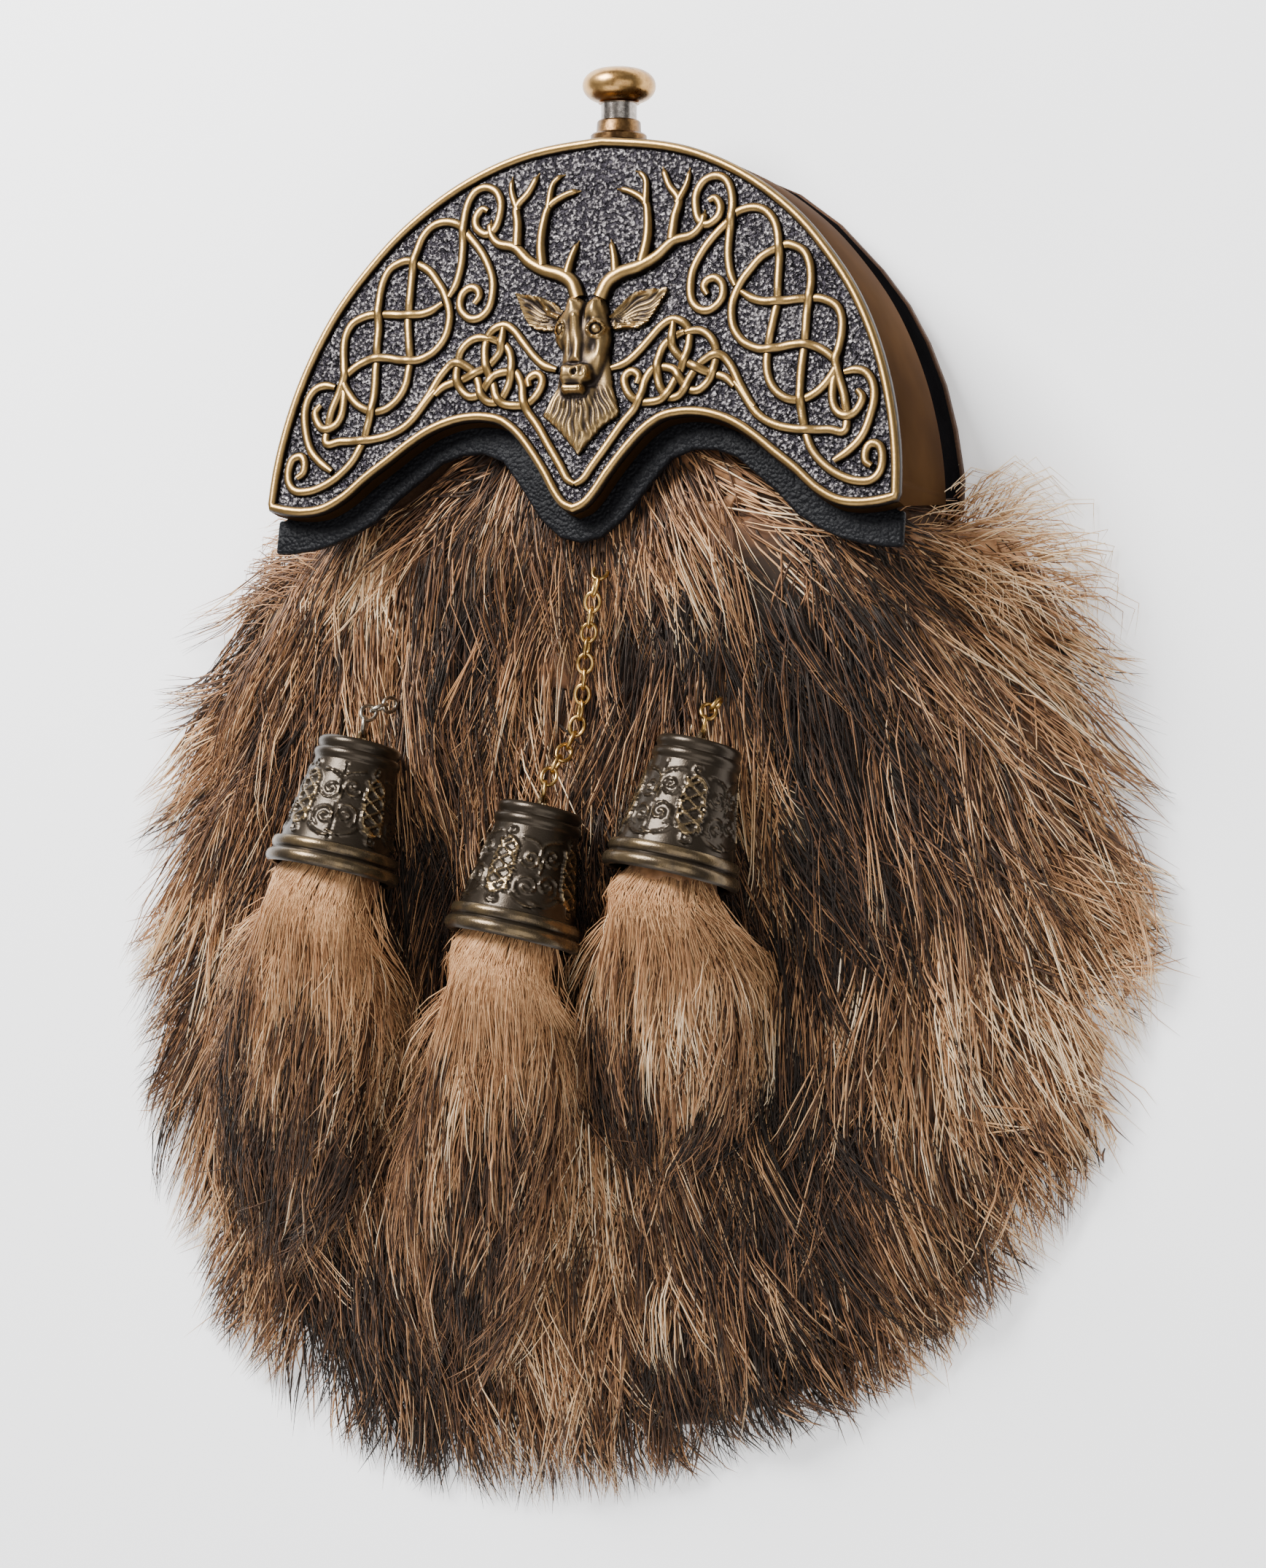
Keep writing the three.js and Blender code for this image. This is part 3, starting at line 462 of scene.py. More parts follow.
# The raised work on the face is cast with the plate: a rolled border, strands that pass over
# and under each other in knots and end in scrolls, the antlers, and the stag's head. The
# points follow the middle of each strand on the right half, in millimetres.
strands = {
    "upper_loop": [
        (34, 49), (32.6, 52), (31.8, 56), (31.7, 60), (31.9, 64), (31.9, 68), (31.2, 71.3),
        (29.8, 73.6), (27.5, 74.5), (25, 73.6), (23.6, 71.5), (23.2, 69), (23.8, 65.6),
        (24.8, 64), (26.6, 63.4), (28.8, 65.1), (29.1, 67.5), (27.7, 69.4), (26.3, 68.8),
    ],
    "teardrop": [
        (27.7, 47.2), (26.7, 48.9), (27.3, 50.5), (29.2, 51), (31, 49.3), (31, 46.2),
        (28.8, 43.9), (26.2, 43.9), (24.2, 45.8), (23.5, 49), (23.8, 52.8), (25.4, 56.6),
        (27.7, 60.1), (30.8, 63.5), (33, 65.9), (36.5, 66.8), (39.5, 66), (41.8, 63.5), (43, 60),
        (43.6, 56), (43.7, 50), (43.8, 45), (43.3, 41), (42.7, 37), (42.4, 33.5), (42.8, 29),
        (44.5, 25.5), (47.5, 23.2), (51, 23), (54.5, 24.6), (57.5, 28.2), (58.5, 30.8),
    ],
    "side_lobe": [
        (35.5, 47.6), (38.1, 46), (41.2, 45.2), (45, 45.2), (50, 45.6), (53.8, 45.4),
        (57.3, 43.7), (58.8, 40.8), (59, 37.3), (58.5, 33.5), (58.1, 31.2), (59.2, 27.3),
        (60.8, 22.3), (61.3, 15.8), (57.7, 16), (53.1, 16), (50, 16.3), (46.2, 17.1),
        (42.7, 18.7), (40, 21.2), (37.3, 25), (35.4, 27.2),
    ],
    "long_loop": [
        (63.4, 24.6), (64.6, 23.1), (64.2, 21.2), (62.7, 19.2), (60.8, 18.9), (58.8, 20.4),
        (57.9, 23.1), (57.9, 26.9), (58.5, 30.4), (56.5, 32.7), (53.8, 34.4), (50.8, 35.2),
        (47.7, 35.2), (44.6, 34.6), (41.2, 34.4), (38.5, 35.2), (36.2, 36.7), (34.2, 39.6),
        (33.5, 43.1), (33.8, 46.2), (35.4, 50.1), (37.3, 52.8), (39.2, 55.1), (41.5, 56.6),
        (44.6, 58), (46.9, 57.6), (49.2, 56.2), (50.6, 53.5), (51.2, 50.1), (51.2, 46.6),
        (50.8, 42), (50.8, 38.5), (50.6, 33), (50.4, 28.5), (50.6, 23.8), (51.3, 19.6),
        (52.3, 15.8), (54.2, 11.5), (57.3, 8.1), (60.8, 5.8), (64.2, 4.6), (67.7, 4.6),
        (69.6, 6.5), (70, 9.6), (69.2, 12.1), (67.3, 12.7), (66.2, 11.2), (66.3, 8.8),
        (67.7, 7.7),
    ],
    "crescent": [
        (60.2, 28.7), (62.7, 29.2), (65, 28.5), (66.7, 26.2), (67.3, 22.7), (66.5, 18.1),
        (65, 14.2), (62.3, 11.2), (59.2, 9),
    ],
    "neck_strand": [
        (6.5, 31.2), (9.6, 32.3), (12.3, 34.6), (15, 37.7), (17.3, 40.4), (19.6, 41.9),
        (21.9, 41.5), (23.7, 39.8), (24.2, 37.3), (24, 34.6), (23.1, 31.5), (21.5, 28.1),
        (20.4, 25.4), (18.8, 23.8), (16.5, 23.3), (13.5, 23.5), (11.2, 25), (9.8, 27.7),
        (10, 29.6), (11.5, 30.4), (13.1, 29.2), (12.7, 27.5),
    ],
    "inner_long": [
        (20.2, 41.3), (20.2, 38.5), (20.4, 35.8), (21.9, 33.8), (24.6, 31.7), (27.7, 30.2),
        (30.8, 29.2), (33.5, 28.1), (35.4, 26.2),
    ],
    "oval": [
        (23.1, 38.8), (20.8, 38.1), (18.5, 36.2), (17.5, 33.5), (17.3, 30.4), (18.1, 26.9),
        (20, 24.4), (22.3, 24.3), (24, 25.8), (25, 28.5), (26.5, 31.2), (28.5, 32.7),
        (30.4, 33.5), (32.3, 33.1), (34.6, 30.4), (36.9, 26.2), (39.2, 22.7), (40.4, 21.5),
    ],
    "v_strand": [
        (23.1, 38.8), (26.2, 39.2), (28.5, 38.1), (30.2, 35.8), (30.6, 32.7), (30.2, 29.2),
        (28.8, 26.9), (26.9, 25.6), (24.6, 26.2), (22.7, 28.5), (21.2, 30.4), (18.5, 31.2),
        (16.2, 30.8), (14.6, 28.1), (14, 25), (12.7, 21.9), (10, 18.5), (6.9, 13.8), (3.8, 9.2),
        (1.9, 6.2), (0, 5),
    ],
}
antler = {
    "beam": [
        (2.6, 47.3), (4.3, 51), (7.2, 53), (11.3, 54.3), (15.1, 56.4), (18.8, 59.8), (23, 61),
        (25.1, 63.5), (25.5, 66.8),
    ],
    "brow": [
        (5.9, 52.5), (5.1, 56.8), (3.8, 61),
    ],
    "inner_tine": [
        (11.8, 55.2), (12.6, 60.2), (12.4, 65.2), (11.3, 69.3), (7.6, 71.8), (4.3, 72.7),
    ],
    "inner_fork": [
        (11.6, 68.5), (11.2, 73.9), (9.7, 76), (8.4, 76.7),
    ],
    "outer_tine": [
        (18.4, 60.2), (18.7, 65.2), (19.3, 69.3), (16.8, 72.7), (14.7, 77.3),
    ],
    "outer_fork": [
        (19, 68.5), (20.9, 73.1), (21.2, 76.8),
    ],
}
strand_width = 2.3
strand_height = 1.25
root_depth = 0.4
crossing_rise = 0.5
crossing_dip = 0.8 * crossing_rise
crossing_reach = 1.7


def crossings(lines):
    """Where lines cross: (line, place) twice, with places counted along the points."""
    found = []
    for a in range(len(lines)):
        for b in range(a, len(lines)):
            p, r = lines[a][:-1], np.diff(lines[a], axis=0)
            q, s = lines[b][:-1], np.diff(lines[b], axis=0)
            gap = q[None] - p[:, None]
            turn = r[:, None, 0] * s[None, :, 1] - r[:, None, 1] * s[None, :, 0]
            turn = np.where(abs(turn) < 1e-9, 1e-9, turn)
            t = (gap[..., 0] * s[None, :, 1] - gap[..., 1] * s[None, :, 0]) / turn
            u = (gap[..., 0] * r[:, None, 1] - gap[..., 1] * r[:, None, 0]) / turn
            hits = np.argwhere((t >= 0) & (t < 1) & (u >= 0) & (u < 1))
            found += [((a, i), (b, j)) for i, j in hits if a != b or j > i + 4]
    return found


def lengths_along(line):
    """How far along a line each of its points is."""
    steps = np.linalg.norm(np.diff(line, axis=0), axis=1)
    return np.concatenate([[0], np.cumsum(steps)])


def woven(lines):
    """How far each point of each line is raised, so that they pass over and under in turn."""
    meetings = crossings(lines)
    visits = [[] for _ in lines]
    for number, pair in enumerate(meetings):
        for role, (line, place) in enumerate(pair):
            visits[line].append((place, number, role))
    links = [[] for _ in meetings]
    for stops in visits:
        stops.sort()
        for (_, one, role_one), (_, two, role_two) in zip(stops, stops[1:]):
            flip = role_one ^ role_two ^ 1
            links[one].append((two, flip))
            links[two].append((one, flip))
    over = {}
    for start in range(len(meetings)):
        if start in over:
            continue
        over[start] = 0
        waiting = [start]
        while waiting:
            here = waiting.pop()
            for other, flip in links[here]:
                if other not in over:
                    over[other] = over[here] ^ flip
                    waiting.append(other)
    rises = []
    for line, stops in zip(lines, visits):
        along = lengths_along(line)
        rise = np.zeros(len(line))
        for place, number, role in stops:
            near = np.exp(-((along - along[place]) / crossing_reach) ** 2)
            rise += near * (crossing_rise if over[number] == role else -crossing_dip)
        rises.append(np.clip(rise, -crossing_dip, 1.2 * crossing_rise))
    return rises


# The section of a raised line: places across it, how high they are, and how much they are rubbed
section_across = np.array([1, 1, 0.93, 0.74, 0.4, 0, -0.4, -0.74, -0.93, -1, -1])
section_up = np.array([-1, 0.0, 0.42, 0.72, 0.93, 1, 0.93, 0.72, 0.42, 0.0, -1])
section_crest = np.array([0, 0, 0.25, 0.7, 0.95, 1, 0.95, 0.7, 0.25, 0, 0])


def tell_points(mesh, name, values):
    """A value at each point of a mesh, for its finish to read."""
    attribute = mesh.attributes.new(name, "FLOAT", "POINT")
    attribute.data.foreach_set("value", np.asarray(values).astype(np.float32))


class Casting:
    """Raised lines gathered into one casting, with how far each point is rubbed bright."""

    def __init__(self):
        self.points = []
        self.faces = []
        self.crests = []
        self.count = 0

    def line(self, path, width, height, rise=0.0, closed=False):
        """A line raised along a path on the face, its foot a little under the ground."""
        rings, sides = len(path), len(section_across)
        run = np.gradient(path, axis=0)
        if closed:
            run = np.roll(path, -1, axis=0) - np.roll(path, 1, axis=0)
        run /= np.linalg.norm(run, axis=1)[:, None]
        side = np.stack([run[:, 1], -run[:, 0]], axis=1)
        half = np.broadcast_to(np.asarray(width, float) / 2, rings)
        high = np.broadcast_to(np.asarray(height, float), rings)
        rise = np.broadcast_to(np.asarray(rise, float), rings)
        flat = path[:, None] + side[:, None] * (section_across * half[:, None])[..., None]
        up = np.where(section_up < 0, -root_depth,
                      rise[:, None] * (section_up > 0) + section_up * high[:, None])
        self.points.append(np.concatenate([flat, up[..., None]], axis=2).reshape(-1, 3))
        self.crests.append(np.tile(section_crest, rings))
        self.faces += ring_faces(rings, sides, self.count, closed)
        if not closed:
            last = self.count + (rings - 1) * sides
            self.faces.append([self.count + c for c in range(sides)])
            self.faces.append([last + c for c in reversed(range(sides))])
        self.count += rings * sides

    def piece(self, name, finish):
        """All the lines so far as one piece."""
        made = new_piece(name, on_face(np.concatenate(self.points)), self.faces, finish, 60)
        tell_points(made.data, "rubbed", np.concatenate(self.crests))
        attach(made, "pouch")
        return made


def rubbed_brass(name, dark, bright, polish):
    """Antiqued brass: bright where the rubbed attribute says so, dark in the recesses."""
    finish, at, feed = new_finish(name)
    rubbed = at.node("ShaderNodeAttribute", {}, output="Fac", attribute_name="rubbed")
    patches = noise_at(at, 5 * mm, detail=4, roughness=0.6)
    grain = noise_at(at, 0.35 * mm, detail=2)
    shine = (rubbed + 0.6 * patches - 0.36 + 0.12 * grain).over(0.36, 1.08)
    feed(
        Base_Color=shine.mix(dark, bright),
        Roughness=polish + 0.15 - 0.15 * shine,
        Metallic=0.75 + 0.25 * shine,
        Normal=raised(grain * 0.6 + patches * 0.4, 0.05 * mm),
    )
    return finish


strand_brass = rubbed_brass("strand_brass", (0.012, 0.007, 0.004), (0.33, 0.205, 0.075), 0.30)


def swelling(line, width, taper=0.72, reach=2.5):
    """The width along a strand that narrows at both ends."""
    along = lengths_along(line)
    end = np.minimum(along, along[-1] - along)
    return width * (taper + (1 - taper) * np.clip(end / reach, 0, 1))


knotwork = Casting()
strand_lines = [flowing(points, 0.55) for points in strands.values()]
for line, rise in zip(strand_lines, woven(strand_lines)):
    for sign in (1, -1):
        knotwork.line(line * (sign, 1), swelling(line, strand_width), strand_height, rise)
knotwork.piece("interlace", strand_brass)

border_inset = 1.15
border_width = 2.3
border_height = 1.45
border = Casting()
border.line(drawn_in(outline, border_inset), border_width, border_height, closed=True)
border.piece("rolled_border", strand_brass)

# Each part of an antler has its width at the root and at the point, and its height
antlers = Casting()
antler_sizes = {
    "beam": (3.9, 1.9, 2.5), "brow": (2.7, 1.3, 2.1), "inner_tine": (2.9, 1.5, 2.2),
    "inner_fork": (2.2, 1.2, 1.7), "outer_tine": (2.8, 1.6, 1.9), "outer_fork": (2.2, 1.2, 1.6),
}
for name, (thick, thin, high) in antler_sizes.items():
    line = flowing(antler[name], 0.5)
    share = np.linspace(0, 1, len(line)) ** 1.3
    width = thick + (thin - thick) * share
    tip = np.clip((1 - np.linspace(0, 1, len(line))) * len(line) / 3, 0.25, 1)
    for sign in (1, -1):
        antlers.line(line * (sign, 1), width * tip, high * (1 - 0.5 * share) * tip)
antlers.piece("antlers", strand_brass)


# The stag's head, neck and ears stand up most. They are modelled as heights over the face,
# a few rounded forms laid over each other, with combed hair cut into the neck and the ears.
relief_step = 0.25
grid_x, grid_y = np.meshgrid(
    np.arange(-20, 20.01, relief_step), np.arange(10.5, 50.6, relief_step),
)
right_ear = [
    (5.2, 42.8), (8, 46), (11, 48.3), (15, 49), (18.4, 49.5), (18.7, 48.6), (16.6, 44.5),
    (14.4, 41.2), (12.4, 40), (6.3, 39.7), (5.4, 41),
]
left_ear = [
    (-5.3, 44.4), (-8, 46.8), (-11.5, 48.2), (-14.5, 48.7), (-18.5, 49.7), (-17, 46.8),
    (-15.5, 43.5), (-14, 41.4), (-12, 40.1), (-6.6, 39.7), (-6, 42),
]
# The rounded forms, each with its height, the width of its rounded edge, and its outline
head_forms = [
    {"high": 1.7, "edge": 2.0, "outline": [
        (0.2, 11.2), (-4.6, 16.6), (-9.3, 20.6), (-8.2, 23), (-6.2, 27), (-5.6, 34), (6.2, 38),
        (6.4, 33), (7.5, 27), (9.4, 21.4), (9.1, 20.1), (5.4, 17.6),
    ]},
    {"high": 2.3, "edge": 2.6, "outline": [
        (-3.6, 25), (-2.4, 19), (0.2, 13), (3, 19), (4.6, 26), (3, 31), (-3, 31),
    ]},
    {"high": 3.7, "edge": 3.4, "outline": [
        (-5.2, 47.3), (-3.5, 48), (-1.4, 47.3), (-0.4, 46.5), (0.4, 47), (2, 47.8), (4, 47),
        (4.9, 45), (5.3, 43), (6.2, 40), (6.3, 37), (5.8, 33), (4.8, 29), (3.4, 27), (-4.4, 27),
        (-5.1, 31), (-5.6, 35), (-7.2, 37.2), (-7.9, 40), (-7.0, 42.6), (-5.5, 44.5),
    ]},
    {"high": 4.7, "edge": 1.9, "outline": [
        (-3.6, 43), (-3.6, 38), (-3.0, 34), (-3.4, 31), (1.4, 31), (0.7, 34), (0.5, 38),
        (0.2, 43), (-1.6, 45),
    ]},
    {"high": 5.5, "edge": 1.5, "outline": [
        (-4.7, 30.8), (-4.9, 28.6), (-4.3, 26.9), (1.8, 26.8), (3.1, 27.9), (3.4, 29.8),
        (2.6, 31.4), (0.8, 32), (-0.9, 31.5), (-2.8, 31.7), (-4, 31.6),
    ]},
    {"high": 4.75, "edge": 1.0, "outline": [
        (-3.9, 29.0), (1.7, 29.0), (1.9, 25.4), (1.2, 24.5), (-3.4, 24.6), (-4.3, 25.5),
    ]},
]
# Smaller swellings and hollows: the middle, the reach across and along, and the height
head_swellings = [
    (-2.9, 43.9, 2.0, 3.2, 0.9), (2.5, 44.2, 1.8, 2.8, 0.9), (-0.2, 44.5, 0.5, 3.2, -1.0),
    (-3.2, 46.6, 1.3, 1.0, 0.5), (2.7, 46.6, 1.3, 1.0, 0.5), (-3.2, 35.5, 0.5, 3.4, 0.4),
    (-0.2, 35.5, 0.45, 3.4, 0.45), (-1.7, 35.0, 0.6, 3.6, -0.45), (2.6, 35.6, 1.2, 2.0, -0.7),
    (4.4, 34.0, 0.9, 2.6, 0.35), (-4.9, 35.2, 0.8, 2.0, -0.8), (1.3, 41.6, 0.8, 1.0, -0.5),
    (-0.4, 29.4, 0.5, 0.8, -0.8), (-4.1, 29.4, 0.45, 0.9, -1.0),
    (-1.2, 26.75, 3.4, 0.28, -0.55), (-2.4, 29.6, 1.0, 1.4, 0.3), (2.3, 28.6, 0.5, 1.6, 0.5),
    (1.2, 30.2, 0.4, 1.0, -0.45), (1.0, 25.8, 0.5, 0.7, 0.4),
]

# Rolled rings round the eyes, which have a ball in them, and round the nose
head_rings = [
    {"centre": (3.1, 39.5), "wide": 1.0, "radius": 1.75, "high": 0.75},
    {"centre": (-5.5, 39.7), "wide": 0.66, "radius": 1.7, "high": 0.8},
    {"centre": (-0.5, 29.2), "wide": 0.8, "radius": 1.15, "high": 0.35},
]
ear_rolls = [
    [(5.2, 42.8), (8.2, 46), (11.2, 48), (15.4, 48.7)],
    [(-14.3, 48.3), (-11.8, 47.7), (-10.5, 46), (-9.2, 44.2), (-6.6, 42.9)],
]


def within(x, y, outline):
    """Which places are inside a closed outline."""
    inside = np.zeros(np.shape(x), bool)
    for (ax, ay), (bx, by) in zip(outline, outline[1:] + outline[:1]):
        crosses = (ay > y) != (by > y)
        inside ^= crosses & (x < (bx - ax) * (y - ay) / (by - ay + 1e-9) + ax)
    return inside


def reach_to(x, y, a, b):
    """How far places are from the line between two points."""
    across, along = b[0] - a[0], b[1] - a[1]
    share = ((x - a[0]) * across + (y - a[1]) * along) / (across ** 2 + along ** 2)
    share = np.clip(share, 0, 1)
    return np.hypot(x - a[0] - share * across, y - a[1] - share * along)


def reach_inside(outline):
    """How far inside an outline each place of the grid is; 0 outside."""
    edges = zip(outline, outline[1:] + outline[:1])
    nearest = np.min([reach_to(grid_x, grid_y, a, b) for a, b in edges], axis=0)
    return np.where(within(grid_x, grid_y, outline), nearest, 0)


def softened(heights, times):
    """The heights with their steps rounded off."""
    for _ in range(times):
        padded = np.pad(heights, 1, mode="edge")
        heights = (4 * heights + padded[2:, 1:-1] + padded[:-2, 1:-1]
                   + padded[1:-1, 2:] + padded[1:-1, :-2]) / 8
    return heights


def domed(outline, high, edge):
    """One rounded form: flat in its middle and round at its edge."""
    share = np.clip(reach_inside(outline) / edge, 0, 1)
    return high * np.sqrt(1 - (1 - share) ** 2)


head = np.max([domed(**form) for form in head_forms], axis=0)
head_mask = head > 0
head = softened(head, 3)
for x, y, wide, tall, high in head_swellings:
    head += high * np.exp(-((grid_x - x) / wide) ** 2 - ((grid_y - y) / tall) ** 2)
ring_thickness = 0.36
eye_radius = 1.5
ball_radius = 1.15
for ring in head_rings:
    across = (grid_x - ring["centre"][0]) / ring["wide"]
    radius = np.hypot(across, grid_y - ring["centre"][1])
    head += ring["high"] * np.exp(-((radius - ring["radius"]) / ring_thickness) ** 2)
    if ring["radius"] > eye_radius:
        ball = np.sqrt(np.clip(1 - (radius / ball_radius) ** 2, 0, 1))
        head += 1.0 * ball - 0.75 * np.exp(-(radius / eye_radius) ** 4)
comb_angle = np.arctan2(grid_x + 0.8, 36 - grid_y)
comb_wave = np.sin(comb_angle * 78 + 1.0 * np.sin(grid_y * 1.1) + 0.7 * np.sin(grid_x * 1.7))
comb_depth = 0.16
on_neck = np.clip((25.5 - grid_y) / 2 + np.clip(np.abs(grid_x + 0.9) - 4.2, 0, 1), 0, 1)
on_neck *= grid_y < 34
tuft_wave = np.sin(grid_x * 9 + 0.8 * np.sin(grid_y * 3)) * np.clip((grid_y - 44.5) / 2, 0, 1)
tuft_depth = 0.09
head += (comb_depth * comb_wave * on_neck + tuft_depth * tuft_wave) * head_mask
relief = np.where(head_mask, head, 0)
for outline_points, base in ((right_ear, (4.4, 41.2)), (left_ear, (-4.6, 41.2))):
    inner = reach_inside(outline_points)
    fan = np.arctan2(grid_y - base[1], np.abs(grid_x) - abs(base[0]))
    folds = 0.14 * np.sin(fan * 55 + 1.5 * np.sin(grid_x))
    dish = 1.35 - 0.75 * np.clip(inner / 2.2, 0, 1) + folds
    ear_height = np.where(inner > 0, dish * np.clip(inner / 0.3, 0, 1) ** 0.5, 0)
    relief = np.where(head_mask, relief, np.maximum(relief, ear_height))
roll_height = 0.95
roll_reach = 0.55
for roll in ear_rolls:
    nearest = np.min([reach_to(grid_x, grid_y, a, b) for a, b in zip(roll, roll[1:])], axis=0)
    rolled = roll_height * np.exp(-(nearest / roll_reach) ** 2)
    relief += np.where(head_mask, 0, rolled) * (relief > 0)
relief_mask = relief > 0.05
edge_of_mask = relief_mask & (softened(relief_mask.astype(float), 1) < 0.999)
hollows = softened(relief, 30)
bright = np.clip(0.58 + 1.15 * (relief - hollows), 0, 1) * np.where(edge_of_mask, 0.3, 1)
numbers = np.cumsum(relief_mask).reshape(relief_mask.shape) - 1
quads = relief_mask[:-1, :-1] & relief_mask[1:, :-1] & relief_mask[:-1, 1:] & relief_mask[1:, 1:]
rows, columns = np.nonzero(quads)
relief_faces = np.stack([
    numbers[rows, columns], numbers[rows, columns + 1],
    numbers[rows + 1, columns + 1], numbers[rows + 1, columns],
], axis=1)
heights = np.where(edge_of_mask, -0.25, relief)
relief_points = np.stack([grid_x, grid_y, heights], axis=-1)[relief_mask]
head_brass = rubbed_brass("head_brass", (0.014, 0.008, 0.005), (0.40, 0.26, 0.11), 0.27)
stag = new_piece("stag_head", on_face(relief_points), relief_faces.tolist(), head_brass, 60)
tell_points(stag.data, "rubbed", bright[relief_mask])
apply_to(stag, "SOLIDIFY", thickness=0.4 * mm, offset=-1)
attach(stag, "pouch")


# A strip of pebbled blue-black leather is tucked under the lower border, with its cut edge
# turned and pressed
trim_leather = leather(
    "trim_leather", (0.003, 0.003, 0.0037), (0.007, 0.0072, 0.0085), 0.75 * mm, 0.3 * mm, 0.45,
    gloss=0.07,
)
trim = cut_out("leather_trim", "leather_edging", trim_leather, 0.7 * mm, 4)
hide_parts("leather_trim")
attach(trim, "pouch")


# The knob is turned brass on a polished shank. It is pressed down through a collar on the
# rim to let the cantle open.
knob_level = (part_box("knob")[0].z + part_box("knob")[1].z) / 2
shank_radius = 4.05 * mm
knob_radius = 8.3 * mm
knob_height = 8 * mm
retainer_radius = 5 * mm
retainer_thickness = 1.6 * mm


def turned(name, profile, finish, middle, steps=64):
    """A piece turned about the line along +Y through a place; the profile is (radius, y)."""
    mesh = bpy.data.meshes.new(name)
    points = [middle + Vector((radius, y, 0)) for radius, y in profile]
    mesh.from_pydata(points, [(i, i + 1) for i in range(len(points) - 1)], [])
    piece = placed(name, mesh)
    bpy.ops.object.mode_set(mode="EDIT")
    bpy.ops.mesh.select_all(action="SELECT")
    bpy.ops.mesh.spin(steps=steps, angle=2 * math.pi, center=middle, axis=(0, 1, 0))
    bpy.ops.mesh.select_all(action="SELECT")
    bpy.ops.mesh.remove_doubles(threshold=weld)
    bpy.ops.mesh.normals_make_consistent(inside=False)
    bpy.ops.object.mode_set(mode="OBJECT")
    bpy.ops.object.shade_smooth_by_angle(angle=math.radians(40))
    mesh.materials.append(finish)
    return piece


def old_brass(name, dark, bright, polish, smudge=6 * mm):
    """Smooth brass with a brown patina in clouds and fine scratches."""
    finish, at, feed = new_finish(name, Metallic=1.0)
    clouds = noise_at(at, smudge, detail=5, roughness=0.65)
    scratches = noise_at(at, 0.5 * mm, detail=3, distortion=0.6)
    shade = (clouds * 0.8 + scratches * 0.2).over(0.32, 0.66)
    feed(
        Base_Color=shade.mix(dark, bright),
        Roughness=polish + 0.16 * clouds + 0.05 * scratches,
        Normal=raised(scratches, 0.02 * mm),
    )
    return finish


knob_brass = old_brass("knob_brass", (0.20, 0.10, 0.033), (0.52, 0.31, 0.115), 0.18)
shank_steel = old_brass("shank_steel", (0.14, 0.12, 0.105), (0.40, 0.36, 0.32), 0.14, 3 * mm)
collar_brass = old_brass("collar_brass", (0.045, 0.024, 0.011), (0.22, 0.12, 0.047), 0.24, 4 * mm)
knob_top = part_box("knob")[1].y
shank_top = knob_top - knob_height
inner_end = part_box("knob")[0].y
knob_middle = Vector((centre_line, 0, knob_level))
swell_power = 0.62
knob_profile = [(0, shank_top), (shank_radius + 0.6 * mm, shank_top)]
for degrees in range(-72, 91, 9):
    bulge = math.radians(degrees)
    knob_profile.append((
        max(0.0, knob_radius * math.cos(bulge) ** swell_power),
        knob_top - knob_height / 2 * (1 - math.sin(bulge)),
    ))
knob_profile[-1] = (0, knob_top)
knob = turned("knob_head", knob_profile, knob_brass, knob_middle)
retainer_end = inner_end + retainer_thickness
bevel = 0.2 * mm
shank_end = shank_top + 0.1 * mm
shank = turned("knob_shank", [
    (0, inner_end), (retainer_radius - bevel, inner_end), (retainer_radius, inner_end + bevel),
    (retainer_radius, retainer_end - bevel), (retainer_radius - bevel, retainer_end),
    (shank_radius, retainer_end), (shank_radius, shank_end), (0, shank_end),
], shank_steel, knob_middle)
for piece in (knob, shank):
    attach(piece, "knob")
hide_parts("knob")

# The collar is a turned ring with a stepped shoulder, fixed on the top of the rim. Its steps
# are counted inward from its radius, and up from its base or down from its top.
collar_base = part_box("knob_collar")[0].y
collar_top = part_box("knob_collar")[1].y
collar_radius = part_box("knob_collar")[1].x - centre_line
bore_radius = shank_radius + 0.3 * mm
base_steps = [(0.3, 0), (0, 0.3), (0, 1.5), (0.35, 1.9), (1.1, 2.1), (1.3, 2.6)]
top_steps = [(1.4, 0.5), (1.7, 0.1), (2.0, 0)]
collar = turned("collar", [
    (bore_radius, collar_base),
    *[(collar_radius - inward * mm, collar_base + up * mm) for inward, up in base_steps],
    *[(collar_radius - inward * mm, collar_top - down * mm) for inward, down in top_steps],
    (bore_radius, collar_top), (bore_radius, collar_base),
], collar_brass, knob_middle)
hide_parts("knob_collar")
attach(collar, "pouch")


# Where the tassels hang: the middle of each bell's top end and the way to its mouth, where
# its hair and its chain end, how far round its seam is turned, and how pale its hair is from
# the bell's mouth to its end
bell_rise = math.radians(10.96)
bell_reach = 33.5
bell_middle_height = 9.5
tassels = {
    "left": {
        "top": (-53.8, -52.1), "mouth": (-58.3, -81.5), "tip": (-99.3, -175.4), "spread": 20.2,
        "chain": [(-50.0, -43.0)], "turn": 14, "tones": (0.74, 0.70, 0.50, 0.28, 0.15),
    },
    "middle": {
        "top": (-9.0, -66.2), "mouth": (-13.4, -94.1), "tip": (-44.8, -199.5), "spread": 14.9,
        "chain": [(3.7, -10.0), (2.2, -17.2), (-1.5, -32.7), (-4.5, -48.2)], "turn": -52,
        "tones": (0.74, 0.67, 0.44, 0.44, 0.38),
    },
    "right": {
        "top": (28.4, -51.6), "mouth": (23.6, -80.3), "tip": (10.5, -147.9), "spread": 14.9,
        "chain": [(30.6, -42.5)], "turn": -18, "tones": (0.74, 0.68, 0.52, 0.36, 0.26),
    },
}
